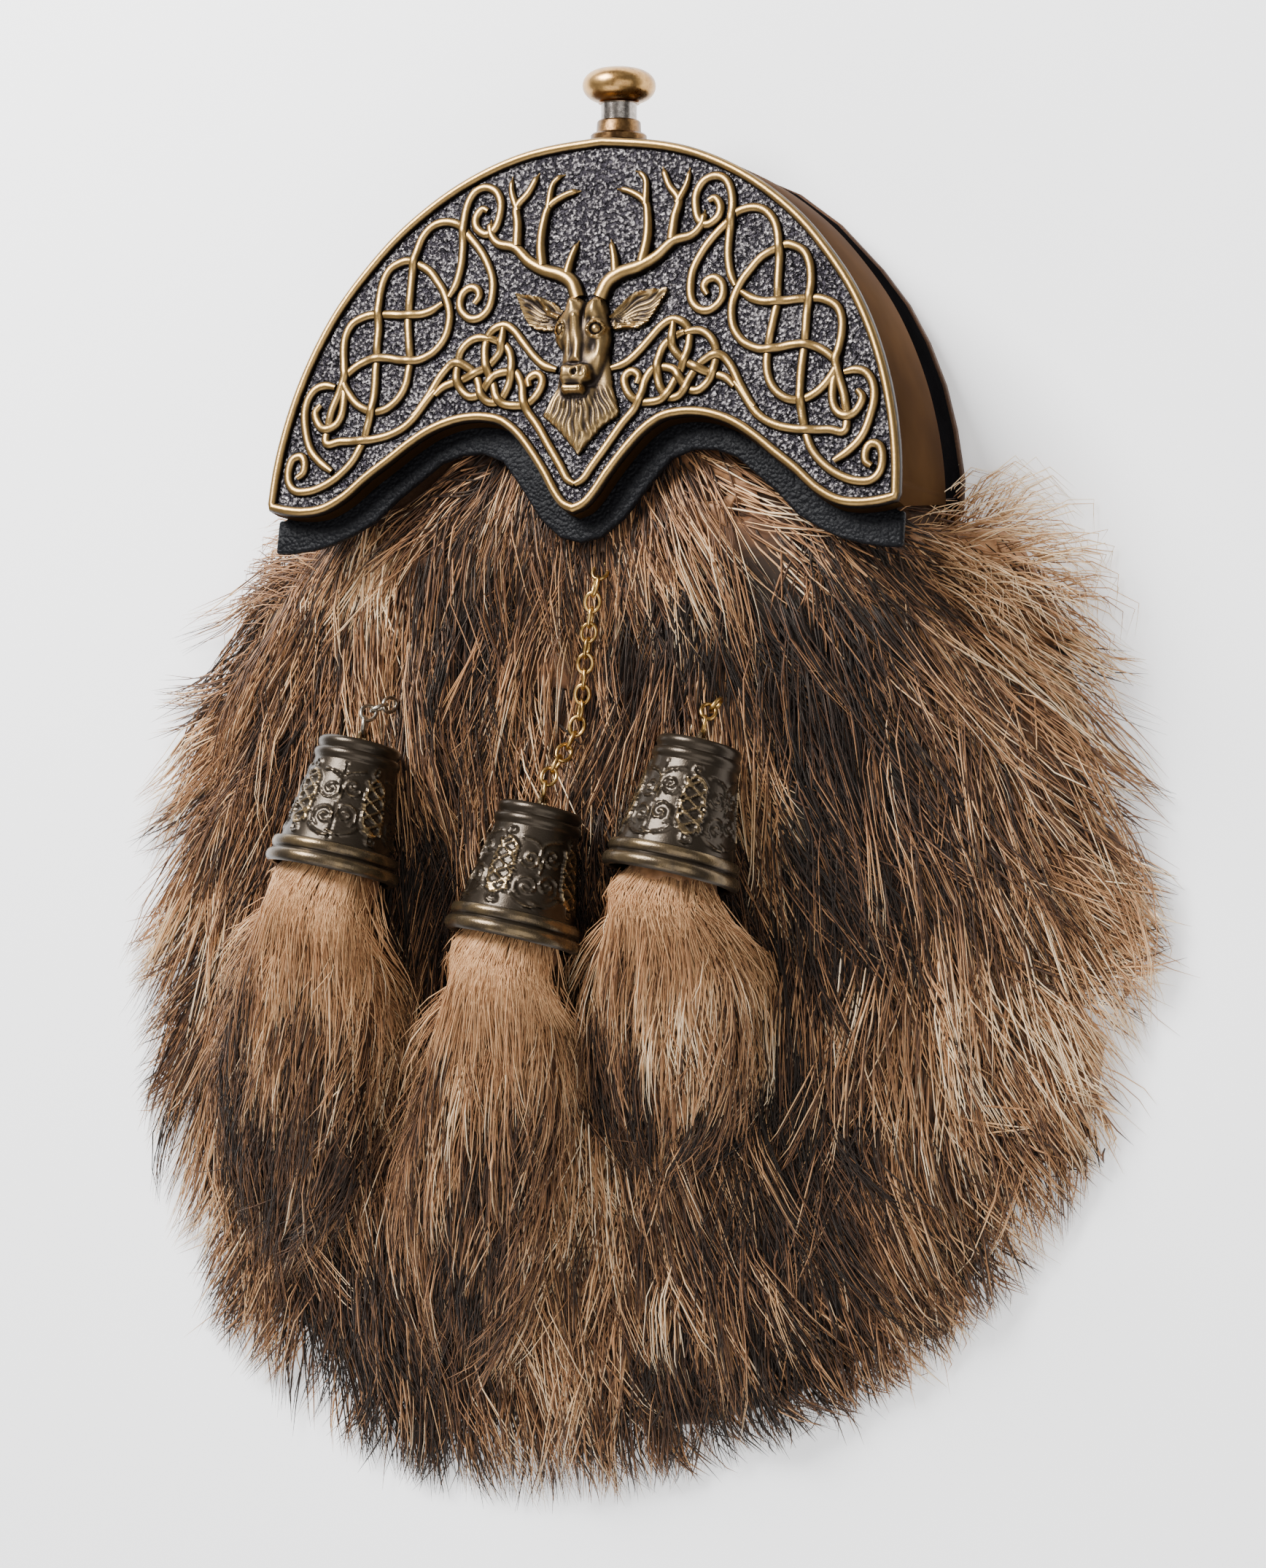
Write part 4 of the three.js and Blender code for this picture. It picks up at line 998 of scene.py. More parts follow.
for side, tassel in tassels.items():
    tassel["tip"] = np.array(tassel["tip"])
    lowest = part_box(f"cone_{side}")[0].z / mm
    fall = np.array(tassel["mouth"]) - np.array(tassel["top"])
    fall /= np.linalg.norm(fall)
    tassel["axis"] = np.array((*(fall * math.cos(bell_rise)), math.sin(bell_rise)))
    tassel["top"] = np.array((*tassel["top"], lowest + bell_middle_height))
    tassel["start"] = tassel["top"] + bell_reach * tassel["axis"]


# The pouch is faced with a long-haired pelt: a soft undercoat with coarser guard hair over
# it, dark at the root and banded tan and cream, that lies in tufts, combed down and outward.
seed = 31
random = np.random.default_rng(seed)

# The outline that the ends of the hair are trimmed to
trimmed_line = [
    (-107, 4), (-119, -17), (-130, -43), (-135, -72), (-136, -101), (-133, -129),
    (-129, -154), (-122, -173), (-112, -192), (-97, -207), (-76, -218), (-51, -225),
    (-27, -226), (-6, -222), (18, -214), (44, -203), (68, -188), (88, -170), (101, -149),
    (109, -129), (116, -108), (121, -86), (121, -60), (116, -39), (107, -18), (95, 0),
    (88, 14), (76, 24), (0, 24), (-90, 24),
]
skin_face = 2.3 * mm
pelt_smoothings = 14


def soft_skin(piece, smoothings):
    """The piece as one closed skin of even faces, smoothed, for hair to grow on."""
    apply_to(piece, "REMESH", mode="VOXEL", voxel_size=skin_face)
    apply_to(piece, "SMOOTH", factor=0.5, iterations=smoothings)
    bpy.ops.object.shade_smooth()


def in_frame(places):
    """Places in millimetres as places in the frame."""
    return places * mm + np.array(spot(0, 0, 0))


def points_of(piece):
    """The points of a piece, in millimetres."""
    points = np.zeros(3 * len(piece.data.vertices), np.float32)
    piece.data.vertices.foreach_get("co", points)
    return (points.reshape(-1, 3) - np.array(spot(0, 0, 0))) / mm


def move_points(piece, places):
    """The points of a piece moved to places given in millimetres."""
    piece.data.vertices.foreach_set("co", in_frame(places).reshape(-1).astype(np.float32))
    piece.data.update()


pelt = like_node("fur_front", "fur_pelt")
bpy.ops.object.mode_set(mode="EDIT")
bpy.ops.mesh.select_all(action="SELECT")
bpy.ops.mesh.remove_doubles(threshold=weld)
bpy.ops.object.mode_set(mode="OBJECT")
soft_skin(pelt, pelt_smoothings)

# Its own edge is drawn in a little, so that the hair's ends make the outline
edge_share = 0.95
left_beyond = 0.2
pelt_middle = np.array((-8, -100))
line_points = np.array([
    np.array(a) + (np.array(b) - a) * share
    for a, b in zip(trimmed_line, trimmed_line[1:] + trimmed_line[:1])
    for share in np.linspace(0, 1, 12, endpoint=False)
]) - pelt_middle
line_turn = np.arctan2(line_points[:, 1], line_points[:, 0])
order = np.argsort(line_turn)
pelt_points = points_of(pelt)
from_middle = pelt_points[:, :2] - pelt_middle
far = np.linalg.norm(from_middle, axis=1)
limit = edge_share * np.interp(
    np.arctan2(from_middle[:, 1], from_middle[:, 0]), line_turn[order],
    np.linalg.norm(line_points, axis=1)[order], period=2 * math.pi)
drawn = np.where(far > limit, limit + left_beyond * (far - limit), far) / far
pelt_points[:, :2] = pelt_middle + from_middle * drawn[:, None]
move_points(pelt, pelt_points)

# The top of the pelt as heights on a grid, in millimetres from the corner level and the
# line of symmetry, with the width of the pelt at each level
pelt_step = 2.0
pelt_x = np.arange(-150, 140.1, pelt_step)
pelt_y = np.arange(-230, 24.1, pelt_step)
bare_level = 2.0


def height_under(tree, x, y):
    """How high a surface is at a place, in millimetres; 0 where there is none."""
    place, _, _, _ = tree.ray_cast(spot(x, y, 200), Vector((0, 0, -1)))
    return place.z / mm if place else 0


def surface_of(piece):
    """What height_under needs of a piece."""
    return BVHTree.FromObject(piece, bpy.context.evaluated_depsgraph_get())


pelt_surface = surface_of(pelt)
lie = np.array([[height_under(pelt_surface, x, y) for x in pelt_x] for y in pelt_y])
covered = lie > 0
left_side = np.array([pelt_x[row].min() if row.any() else -20 for row in covered])
right_side = np.array([pelt_x[row].max() if row.any() else 20 for row in covered])
for _ in range(6):
    left_side = np.convolve(np.pad(left_side, 1, mode="edge"), (0.25, 0.5, 0.25), "valid")
    right_side = np.convolve(np.pad(right_side, 1, mode="edge"), (0.25, 0.5, 0.25), "valid")
soft_lie = lie.copy()
filled = covered.copy()
for _ in range(4):
    around, count = np.zeros_like(lie), np.zeros_like(lie)
    for direction in (0, 1):
        for shift in (-1, 1):
            around += np.roll(soft_lie * filled, shift, direction)
            count += np.roll(filled.astype(float), shift, direction)
    edge = ~filled & (count > 0)
    soft_lie[edge] = around[edge] / count[edge]
    filled |= edge
soft_lie[~filled] = bare_level
soft_lie = np.maximum(softened(soft_lie, 3), lie)


def height_on(heights, x, y):
    """What a grid of heights over the pelt says at places, in millimetres."""
    u = np.clip((x - pelt_x[0]) / pelt_step, 0, len(pelt_x) - 1.001)
    v = np.clip((y - pelt_y[0]) / pelt_step, 0, len(pelt_y) - 1.001)
    i, j = u.astype(int), v.astype(int)
    u, v = u - i, v - j
    return ((heights[j, i] * (1 - u) + heights[j, i + 1] * u) * (1 - v)
            + (heights[j + 1, i] * (1 - u) + heights[j + 1, i + 1] * u) * v)


def sideways(x, y):
    """Where a place is across the pelt, from -1 at its left side to 1 at its right."""
    low = np.interp(y, pelt_y, left_side)
    high = np.interp(y, pelt_y, right_side)
    return np.clip((2 * x - low - high) / (high - low), -1.2, 1.2)


shortest_share = 0.22
shares_tried = np.linspace(0.3, 1, 8)


def reach_within(x, y, way, length):
    """The lengths cut back where hair would stick out of the pelt's outline."""
    share = np.full(len(x), shortest_share)
    for longer in shares_tried:
        tip_x = 0.97 * (x + longer * length * np.sin(way)) + 1.5
        tip_y = 0.965 * (y - longer * length * np.cos(way)) - 0.5
        share = np.where(within(tip_x, tip_y, trimmed_line), longer, share)
    return length * share


def combed(x, y):
    """The way the hair lies, in radians from straight down towards the right."""
    side = sideways(x, y)
    fan = np.interp(-y, (-20, 40, 120, 200), (1.1, 0.95, 0.7, 0.42))
    wave = 0.12 * np.sin(x / 17 + 1.3 * np.sin(y / 23)) + 0.1 * np.sin(y / 11 + x / 29)
    return side * np.abs(side) ** 1.4 * fan + wave - 0.02


# Where the pelt is coloured darker or paler than its middle brown, partly as it was marked in
# life and partly as painted shade in the dark patches beside and under the tassels: the middle
# of the patch, its reach across and along, and how much paler it is
marks_and_tassel_shade = [
    (-29, -20, 9, 24, -0.42), (-75, -43, 15, 17, -0.38), (20, -19, 22, 9, -0.46),
    (51, -43, 11, 29, -0.44), (-44, -65, 12, 26, -0.36), (40, -127, 16, 38, -0.46),
    (22, -195, 24, 20, -0.44), (-75, -207, 36, 18, -0.42), (-16, -219, 32, 9, -0.36),
    (-122, -138, 10, 32, -0.26), (15, -80, 13, 36, -0.44), (-60, -170, 30, 26, -0.42),
    (60, -75, 13, 22, -0.28), (84, -160, 12, 20, -0.25), (-96, -95, 14, 30, -0.12),
    (82, -4, 16, 20, 0.32), (26, 3, 19, 12, 0.26), (-63, 0, 26, 10, 0.24),
    (-120, -53, 17, 46, 0.15), (106, -86, 15, 60, 0.13), (78, -103, 14, 34, 0.06),
    (71, -155, 14, 24, 0.04), (-12, -32, 9, 16, 0.12), (-6, -150, 14, 30, 0.12),
    (58, -195, 18, 12, 0.1), (-52, -25, 14, 10, 0.16), (-70, -120, 10, 20, 0.1),
]


middle_tone = 0.53
# How much darker the skin under the hair is coloured: partly its dark roots, partly painted shade
# between the hairs
roots_and_shade_darker = 0.22


def marked_and_shaded(x, y):
    """How pale the pelt is at places, about 0.5 for its middle brown, with its markings and the painted
    shade beside the tassels.
    """
    tone = middle_tone + 0.1 * np.clip((x - 40) / 60, 0, 1)
    for mx, my, wide, tall, change in marks_and_tassel_shade:
        tone += change * np.exp(-((x - mx) / wide) ** 2 - ((y - my) / tall) ** 2)
    return tone


def hair_finish(name, stops):
    """Hair coloured by its tone, with a soft sheen and finer streaks along it."""
    finish, at, feed = new_finish(
        name, Specular_IOR_Level=0.32, Specular_Tint=(1, 0.82, 0.66, 1), Sheen_Weight=0.04,
    )
    tone = at.node("ShaderNodeAttribute", {}, output="Fac", attribute_name="tone")
    streaks = noise_at(at, 1.6 * mm, detail=2)
    banded = tone + 0.22 * (streaks - 0.5)
    feed(
        Base_Color=banded.node("ShaderNodeValToRGB", {"Fac": banded}, output="Color", stops=stops),
        Roughness=0.52 - 0.15 * streaks,
    )
    return finish


pelt_colours = [
    (0.0, (0.005, 0.003, 0.0024)), (0.22, (0.019, 0.0095, 0.0063)), (0.45, (0.105, 0.046, 0.021)),
    (0.65, (0.38, 0.185, 0.080)), (0.85, (0.68, 0.41, 0.20)), (1.0, (0.93, 0.73, 0.48)),
]
pelt_hair = hair_finish("pelt_hair", pelt_colours)


def hair_piece(name, spines, widths, tones, finish):
    """One mesh of separate hairs: each is a thin three-sided spike round its own spine."""
    count, rings = spines.shape[:2]
    along = np.gradient(spines, axis=1)
    along /= np.linalg.norm(along, axis=2, keepdims=True) + 1e-12
    side = np.cross(along, (0, 0, 1))
    side /= np.linalg.norm(side, axis=2, keepdims=True) + 1e-12
    up = np.cross(side, along)
    corners = []
    for degrees in (90, 210, 330):
        turn = math.radians(degrees)
        corners.append(spines + widths[..., None] / 2 * (
            math.cos(turn) * side + 0.7 * math.sin(turn) * up))
    points = np.stack(corners, axis=2).reshape(-1, 3)
    faces = [(0, 1, 2), (3 * rings - 1, 3 * rings - 2, 3 * rings - 3)]
    uv = [(0.0, 0.0), (0.5, 0.0), (1.0, 0.0), (1.0, 1.0), (0.5, 1.0), (0.0, 1.0)]
    for r in range(rings - 1):
        low, high = r / (rings - 1), (r + 1) / (rings - 1)
        for c in range(3):
            d = (c + 1) % 3
            a, b, e, f = 3 * r + c, 3 * r + d, 3 * r + 3 + d, 3 * r + 3 + c
            faces += [(a, f, e), (a, e, b)]
            left, right = c / 3, (c + 1) / 3
            uv += [(left, low), (left, high), (right, high)]
            uv += [(left, low), (right, high), (right, low)]
    hair_faces = np.array(faces)[None] + 3 * rings * np.arange(count)[:, None, None]
    mesh = bpy.data.meshes.new(name)
    mesh.from_pydata(points.tolist(), [], hair_faces.reshape(-1, 3).tolist())
    mesh.polygons.foreach_set("use_smooth", np.ones(len(mesh.polygons), bool))
    tell_points(mesh, "tone", np.repeat(tones.reshape(-1), 3))
    strips = math.ceil(math.sqrt(count))
    number = np.arange(count)
    cell = np.stack([number % strips, number // strips], axis=1)[:, None]
    baked = mesh.uv_layers.new(name="OFBake")
    laid = (cell + 0.1 + 0.8 * np.array(uv)[None]) / strips
    baked.data.foreach_set("uv", laid.reshape(-1).astype(np.float32))
    mesh.materials.append(finish)
    piece = placed(name, mesh)
    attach(piece, "pouch")
    return piece


# The lower edge of the leather trim, which the top of the hair comes out from under
edging_x = [0, 5, 10, 15, 20, 25, 30, 35, 40, 45, 50, 55, 60, 75, 80]
edging_y = [-6.7, -5.4, -1.2, 5.8, 12.1, 14, 13.8, 12, 8.3, 3.8, -1.2, -4.2, -6.5, -7.3, 14]
edging_end = 84
at_edging_share = 0.13


def edging_at(x):
    """The level of the trim's lower edge at places across."""
    return np.interp(np.abs(x), edging_x, edging_y)


def tufts(count, each, spread):
    """Roots of hairs that grow in tufts, with the tuft that each belongs to."""
    x = random.uniform(-145, 135, 6 * count)
    y = random.uniform(-226, 22, 6 * count)
    at_edging = (random.random(len(x)) < at_edging_share) & (np.abs(x) < edging_end)
    y = np.where(at_edging, edging_at(x) + random.uniform(-4, 7, len(x)), y)
    i = np.round((x - pelt_x[0]) / pelt_step).astype(int)
    j = np.round((y - pelt_y[0]) / pelt_step).astype(int)
    inside = covered[j, i] & (np.abs(sideways(x, y)) < 0.985) & (y < edging_at(x) + 7)
    x, y = x[inside][:count], y[inside][:count]
    tuft = np.repeat(np.arange(len(x)), each)
    root_x = x[tuft] + random.normal(0, spread, len(tuft))
    root_y = y[tuft] + random.normal(0, spread, len(tuft))
    return x, y, tuft, root_x, root_y


hair_rings = 4
hair_share = np.linspace(0, 1, hair_rings)
lowest_hair = 1.4
middle_thickness = 0.72
shorter_at_edging = 0.8
dark_tip_share = 0.35
long_hair_share = 0.12


def tapering(count, width, root, tip):
    """Widths along hairs, with the shares of the full width at the root and the tip."""
    return width * random.uniform(0.75, 1.25, (count, 1)) * np.array((root, 1.0, middle_thickness, tip))


def grown(count, each, spread, length, rise, width, gather, stray, tone_shift=0.0):
    """Spines, widths and tones of tufted hair that lies along the pelt."""
    tuft_x, tuft_y, tuft, x, y = tufts(count, each, spread)
    tuft_way = combed(tuft_x, tuft_y) + random.normal(0, stray, len(tuft_x))
    tuft_length = length * random.uniform(0.75, 1.2, len(tuft_x))
    near_edging = tuft_y > edging_at(tuft_x) - 14
    tuft_length = np.where(near_edging, shorter_at_edging * tuft_length, tuft_length)
    bend = random.normal(0, 0.16, len(tuft_x))
    tuft_length = reach_within(tuft_x, tuft_y, tuft_way + bend, tuft_length)
    way = tuft_way[tuft] + random.normal(0, 0.5 * stray, len(x))
    reach = tuft_length[tuft] * random.uniform(0.72, 1.08, len(x))
    reach = reach_within(x, y, way + bend[tuft], reach)
    long_ones = random.random(len(x)) < long_hair_share
    reach += np.where(long_ones, random.uniform(2, 7, len(x)), 1.0)
    turn = way[:, None] + (bend[tuft] + random.normal(0, 0.08, len(x)))[:, None] * hair_share
    px = x[:, None] + reach[:, None] * hair_share * np.sin(turn)
    py = y[:, None] - reach[:, None] * hair_share * np.cos(turn)
    tip_x = tuft_x + tuft_length * np.sin(tuft_way + bend)
    tip_y = tuft_y - tuft_length * np.cos(tuft_way + bend)
    pull = gather * hair_share ** 1.6
    px += pull * (tip_x[tuft][:, None] - px[:, -1:])
    py += pull * (tip_y[tuft][:, None] - py[:, -1:])
    tuft_rise = rise * random.uniform(0.3, 1.0, len(tuft_x))
    lift = tuft_rise[tuft] * random.uniform(0.6, 1.25, len(x))
    arch = np.sin(np.pi * np.minimum(1, 0.12 + 0.95 * hair_share))
    free = np.clip((edging_at(x) - y) / 10, 0, 1)
    lift = arch * (lift * (0.35 + 0.65 * free))[:, None]
    for tassel in tassels.values():
        chain = [tuple(tassel["top"][:2]), *tassel["chain"][::-1]]
        for a, b in zip(chain, chain[1:]):
            lift = lift * np.clip((reach_to(px, py, a, b) - 2) / 5, 0.12, 1)
    high = height_on(soft_lie, px, py) + 0.5 - 1.8 * (1 - hair_share) ** 3 * free[:, None] + lift
    spines = np.stack([px, py, np.maximum(lowest_hair, high)], axis=2)
    widths = tapering(len(x), width, 0.75, 0.1)
    tuft_tone = marked_and_shaded(tuft_x, tuft_y) + random.normal(0, 0.095, len(tuft_x))
    streak = [
        0.42 * noise.noise(Vector((a / 5.5, b / 19, 3.1))) + 0.26 * noise.noise(
            Vector((a / 15, b / 30, 7.7)))
        for a, b in zip(tuft_x + 0.35 * tuft_y * np.sin(tuft_way), tuft_y)
    ]
    tuft_tone += np.array(streak)
    apart = random.choice((-0.17, 0.0, 0.24), len(x), p=(0.45, 0.3, 0.25))
    tone = tuft_tone[tuft] + apart + tone_shift
    dark_tip = (random.random(len(tuft_x)) < dark_tip_share)[tuft]
    band = np.where(
        dark_tip[:, None],
        np.array((-0.30, 0.02, 0.08, -0.28)), np.array((-0.30, -0.08, 0.10, 0.28)),
    )
    tones = np.clip(tone[:, None] + band * np.clip(0.5 + tone, 0.4, 1.2)[:, None], 0.01, 1)
    return spines, widths, tones


# The skin is coloured darker than the hair over it, partly for the dark roots and partly as painted
# shade between the hairs
pelt_tone = marked_and_shaded(pelt_points[:, 0], pelt_points[:, 1]) - roots_and_shade_darker
tell_points(pelt.data, "tone", pelt_tone.clip(0, 1))
pelt.data.materials.append(pelt_hair)
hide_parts("fur_front")
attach(pelt, "pouch")

# Each coat: tufts, hairs in a tuft, its spread, length, rise and width of the hair, how much
# its tips gather, how far it strays, and how much paler it is
coats = {
    "undercoat": grown(820, 8, 3.2, 27, 2.2, 0.6, 0.25, 0.26, -0.06),
    "guard_hair_low": grown(640, 11, 3.1, 38, 4.0, 0.45, 0.5, 0.17),
    "guard_hair_top": grown(650, 11, 2.4, 44, 5.5, 0.36, 0.6, 0.18, 0.03),
}
for name, (spines, widths, tones) in coats.items():
    hair = hair_piece(name, in_frame(spines), widths * mm, tones, pelt_hair)


def hair_over(piece, count, length, rise_at, width, way_at, tone_at, keep):
    """Short hair all over a piece: it grows from the surface the way it is told."""
    mesh = piece.data
    mesh.calc_loop_triangles()
    corners = np.zeros(3 * len(mesh.loop_triangles), np.int32)
    mesh.loop_triangles.foreach_get("vertices", corners)
    places = points_of(piece)
    a, b, c = (places[corners.reshape(-1, 3)[:, k]] for k in range(3))
    normal = np.cross(b - a, c - a)
    area = np.linalg.norm(normal, axis=1)
    normal /= area[:, None] + 1e-9
    chance = area * keep(normal, (a + b + c) / 3)
    chosen = random.choice(len(area), count, p=chance / chance.sum())
    u, v = random.random((2, count))
    u, v = np.where(u + v > 1, 1 - u, u), np.where(u + v > 1, 1 - v, v)
    root = a[chosen] + u[:, None] * (b - a)[chosen] + v[:, None] * (c - a)[chosen]
    out = normal[chosen]
    way = way_at(root, out) + random.normal(0, 0.16, (count, 3))
    way -= (way * out).sum(axis=1, keepdims=True) * out
    way /= np.linalg.norm(way, axis=1, keepdims=True) + 1e-9
    reach = length * random.uniform(0.7, 1.25, count)
    lift = rise_at(root) * random.uniform(0.3, 1.2, count)
    spines = (
        root[:, None] + (reach[:, None] * hair_share)[..., None] * way[:, None]
        + (lift[:, None] * np.sin(np.pi * np.minimum(1, 0.05 + 0.7 * hair_share)) - 0.3)[..., None]
        * out[:, None]
    )
    spines[..., 2] = np.maximum(lowest_hair, spines[..., 2])
    tones = tone_at(root)[:, None] + random.normal(0, 0.12, (count, 1)) + 0.3 * (hair_share - 0.4)
    widths = tapering(count, width, 0.8, 0.1)
    return in_frame(spines), widths * mm, np.clip(tones, 0.02, 1)


def down_the_side(root, out):
    """Down and outward, and away from the middle on the edge beside the cantle."""
    turn = combed(root[:, 0], root[:, 1])
    way = np.stack([np.sin(turn), -np.cos(turn), np.full(len(turn), -0.45)], axis=1)
    beside = np.stack([0.8 * np.sign(root[:, 0]), 0 * turn, np.full(len(turn), -0.35)], axis=1)
    return np.where(out[:, 1:2] > 0.35, beside, way)


def fluffed(root):
    """Hair rises 6 mm, and more beside the cantle's right end."""
    beside_end = np.clip((root[:, 0] - 66) / 10, 0, 1) * np.clip((root[:, 1] + 30) / 14, 0, 1)
    return 6 + 9 * beside_end


def steep(normal, middle):
    """Only steep faces of the pelt count, and those beside the cantle's ends count most."""
    at_corner = (middle[:, 1] > -20) & (np.abs(middle[:, 0]) > 62)
    return (normal[:, 2] < 0.72) * (middle[:, 2] > 2) * np.where(at_corner, 3.2, 0.6)


fluff = hair_piece(
    "side_hair",
    *hair_over(pelt, 3300, 16, fluffed, 0.32, down_the_side,
               lambda root: marked_and_shaded(root[:, 0], root[:, 1]) + 0.02, steep),
    pelt_hair)


# Three tassels hang on brass chains from under the trim and from the skin of the pelt. The
# chains are of oval wire links, each turned a quarter to the one before.
def tube(path, radius, sides=8):
    """Points and faces of a wire bent round a closed path."""
    path = np.asarray(path)
    along = np.roll(path, -1, axis=0) - np.roll(path, 1, axis=0)
    along /= np.linalg.norm(along, axis=1, keepdims=True)
    flat = np.linalg.svd(path - path.mean(axis=0))[2][2]
    outward = np.cross(along, flat)
    turn = 2 * math.pi * np.arange(sides) / sides
    points = path[:, None] + radius * (
        np.cos(turn)[None, :, None] * outward[:, None] + np.sin(turn)[None, :, None] * flat)
    return points.reshape(-1, 3), ring_faces(len(path), sides, closed=True)


def joined(parts):
    """Several lots of points and faces as one."""
    points, faces, count = [], [], 0
    for part_points, part_faces in parts:
        points.append(part_points)
        faces += [tuple(count + corner for corner in face) for face in part_faces]
        count += len(part_points)
    return np.concatenate(points), faces


link_length = 5.3
link_width = 4.2
link_wire = 0.9
link_pitch = 3.6
link_turn = np.linspace(0, 2 * math.pi, 22, endpoint=False)
chain_height = 2.9
middle_chain_top = 46.5
chain_finishes = {
    "left": old_brass("chain_silver", (0.13, 0.11, 0.09), (0.55, 0.49, 0.40), 0.2, 3 * mm),
    "middle": old_brass("chain_gold", (0.22, 0.12, 0.03), (0.75, 0.48, 0.17), 0.2, 3 * mm),
}
chain_finishes["right"] = chain_finishes["middle"]
for side, tassel in tassels.items():
    axis = tassel["axis"]
    hook = tassel["top"] - 1.55 * axis
    stops = [hook, hook - link_length * axis]
    for x, y in tassel["chain"][::-1]:
        on_pelt = height_on(soft_lie, np.array([x]), np.array([y]))[0]
        stops.append(np.array((x, y, on_pelt + chain_height)))
    if side == "middle":
        stops[-1][2] = min(stops[-1][2], middle_chain_top)
    way = flowing([tuple(stop) for stop in stops], 0.2)
    gone = lengths_along(way)
    links = []
    for number, at_length in enumerate(np.arange(2.2, gone[-1] - 1, link_pitch)):
        middle, beyond = (
            np.array([np.interp(place, gone, way[:, c]) for c in range(3)])
            for place in (at_length, at_length + 0.5)
        )
        ahead = (beyond - middle) / np.linalg.norm(beyond - middle)
        level = np.cross((0, 0, 1), ahead)
        level /= np.linalg.norm(level)
        roll = (0.35 if number % 2 else 0.35 + math.pi / 2) + 0.25 * math.sin(2.4 * number)
        across = math.cos(roll) * level + math.sin(roll) * np.cross(ahead, level)
        ring = (
            middle + (link_length - link_wire) / 2 * np.cos(link_turn)[:, None] * ahead
            + (link_width - link_wire) / 2 * np.sin(link_turn)[:, None] * across
        )
        links.append(tube(ring, link_wire / 2))
    points, faces = joined(links)
    chain = new_piece(f"chain_{side}_links", in_frame(points), faces, chain_finishes[side], 60)
    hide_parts(f"chain_{side}")
    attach(chain, "pouch")


# Each bell is cast in two halves that meet in a fine beaded seam. Rolled beads ring both of
# its ends, and between them stand panels of plaited strands with scrolls beside them.
bell_length = 30.5
bell_top_radius = 9.5
bell_mouth_radius = 15.3
bell_mean_radius = 11.5
body_start = 5.2
body_end = 24.2
plait = [
    [(2.5 * math.sin(2 * math.pi * (t / 9.2) + phase), 9 + t) for t in np.arange(0, 11.6, 0.3)]
    for phase in (0.5, 0.5 + 2 * math.pi / 3, 0.5 + 4 * math.pi / 3)
]
plait += [
    [(2.9 * math.sin(turn), 14.8 + 6.3 * math.cos(turn)) for turn in np.arange(0, 6.3, 0.15)],
]


def scroll(x, y, size, turns, start, hand):
    """A strand that winds in to a point."""
    share = np.linspace(0, 1, 44)
    radius = size * (1 - 0.9 * share)
    turn = start + hand * turns * 2 * math.pi * share
    return list(zip(x + radius * np.cos(turn), y + radius * np.sin(turn)))


scrolls = [
    scroll(0, 6.9, 1.5, 1.2, 1.57, 1), scroll(0.2, 22.3, 1.6, 1.2, -1.57, -1),
    scroll(-6.2, 11.2, 2.3, 1.4, 0.3, 1), scroll(-6.6, 17.6, 2.8, 1.5, 0.9, -1),
    scroll(6.2, 12.4, 2.4, 1.4, 2.8, -1), scroll(6.6, 18.6, 2.7, 1.5, 2.2, 1),
    [(-3.6, 7.2), (-5.4, 7.6), (-7.6, 8.2), (-9, 9.6), (-9.4, 12), (-8.8, 14)],
    [(3.4, 8), (5.2, 8.2), (7.4, 8.8), (8.8, 10.6), (9.2, 13.2), (8.8, 15.4)],
    [(-9.6, 21.8), (-7.6, 22.4), (-5, 21.6), (-3.6, 20.2)],
    [(9.8, 22.4), (7.6, 23), (5.2, 22.2), (3.7, 20.8)],
]

# The rings round the ends (level, half height, radius they stand on, height), and the rows
# of points that close the top and line the inside (radius, level)
end_rings = [
    (1.3, 1.3, 8.5, 1.0), (3.9, 1.3, 8.9, 1.0),
    (25.7, 1.5, 13.5, 1.1), (28.9, 1.6, 14.1, 1.2),
]
top_row = (7.6, 0.5)
inner_rows = [(13.4, 30.3), (12.9, 27.5), (11.0, 14.0)]
seam_bead = 0.95
bell_steps = 156
bell_rows = np.concatenate([
    np.linspace(0.05, body_start, 15), np.linspace(body_start + 0.2, body_end - 0.2, 64),
    np.linspace(body_end, bell_length - 0.05, 19),
])
bell_turns = 2 * math.pi * np.arange(bell_steps) / bell_steps - math.pi
turns, alongs = np.meshgrid(bell_turns, bell_rows)
body = bell_top_radius - 0.9 + (bell_mouth_radius - 1.2 - bell_top_radius + 0.9) * (
    alongs / bell_length) ** 1.1


def line_relief(u, v, lines, half):
    """1 along the lines and 0 beside them, round in section."""
    near = np.full(u.shape, 99.0)
    for line in lines:
        line = flowing(line, 0.35) if len(line) < 12 else np.asarray(line)
        for x, y in line:
            np.minimum(near, np.hypot(u - x, v - y), out=near)
    return np.sqrt(np.clip(1 - (near / half) ** 2, 0, 1))


def round_from(middle):
    """How far round the bell each place is from a line down it, in millimetres."""
    return ((turns - middle + math.pi) % (2 * math.pi) - math.pi) * bell_mean_radius


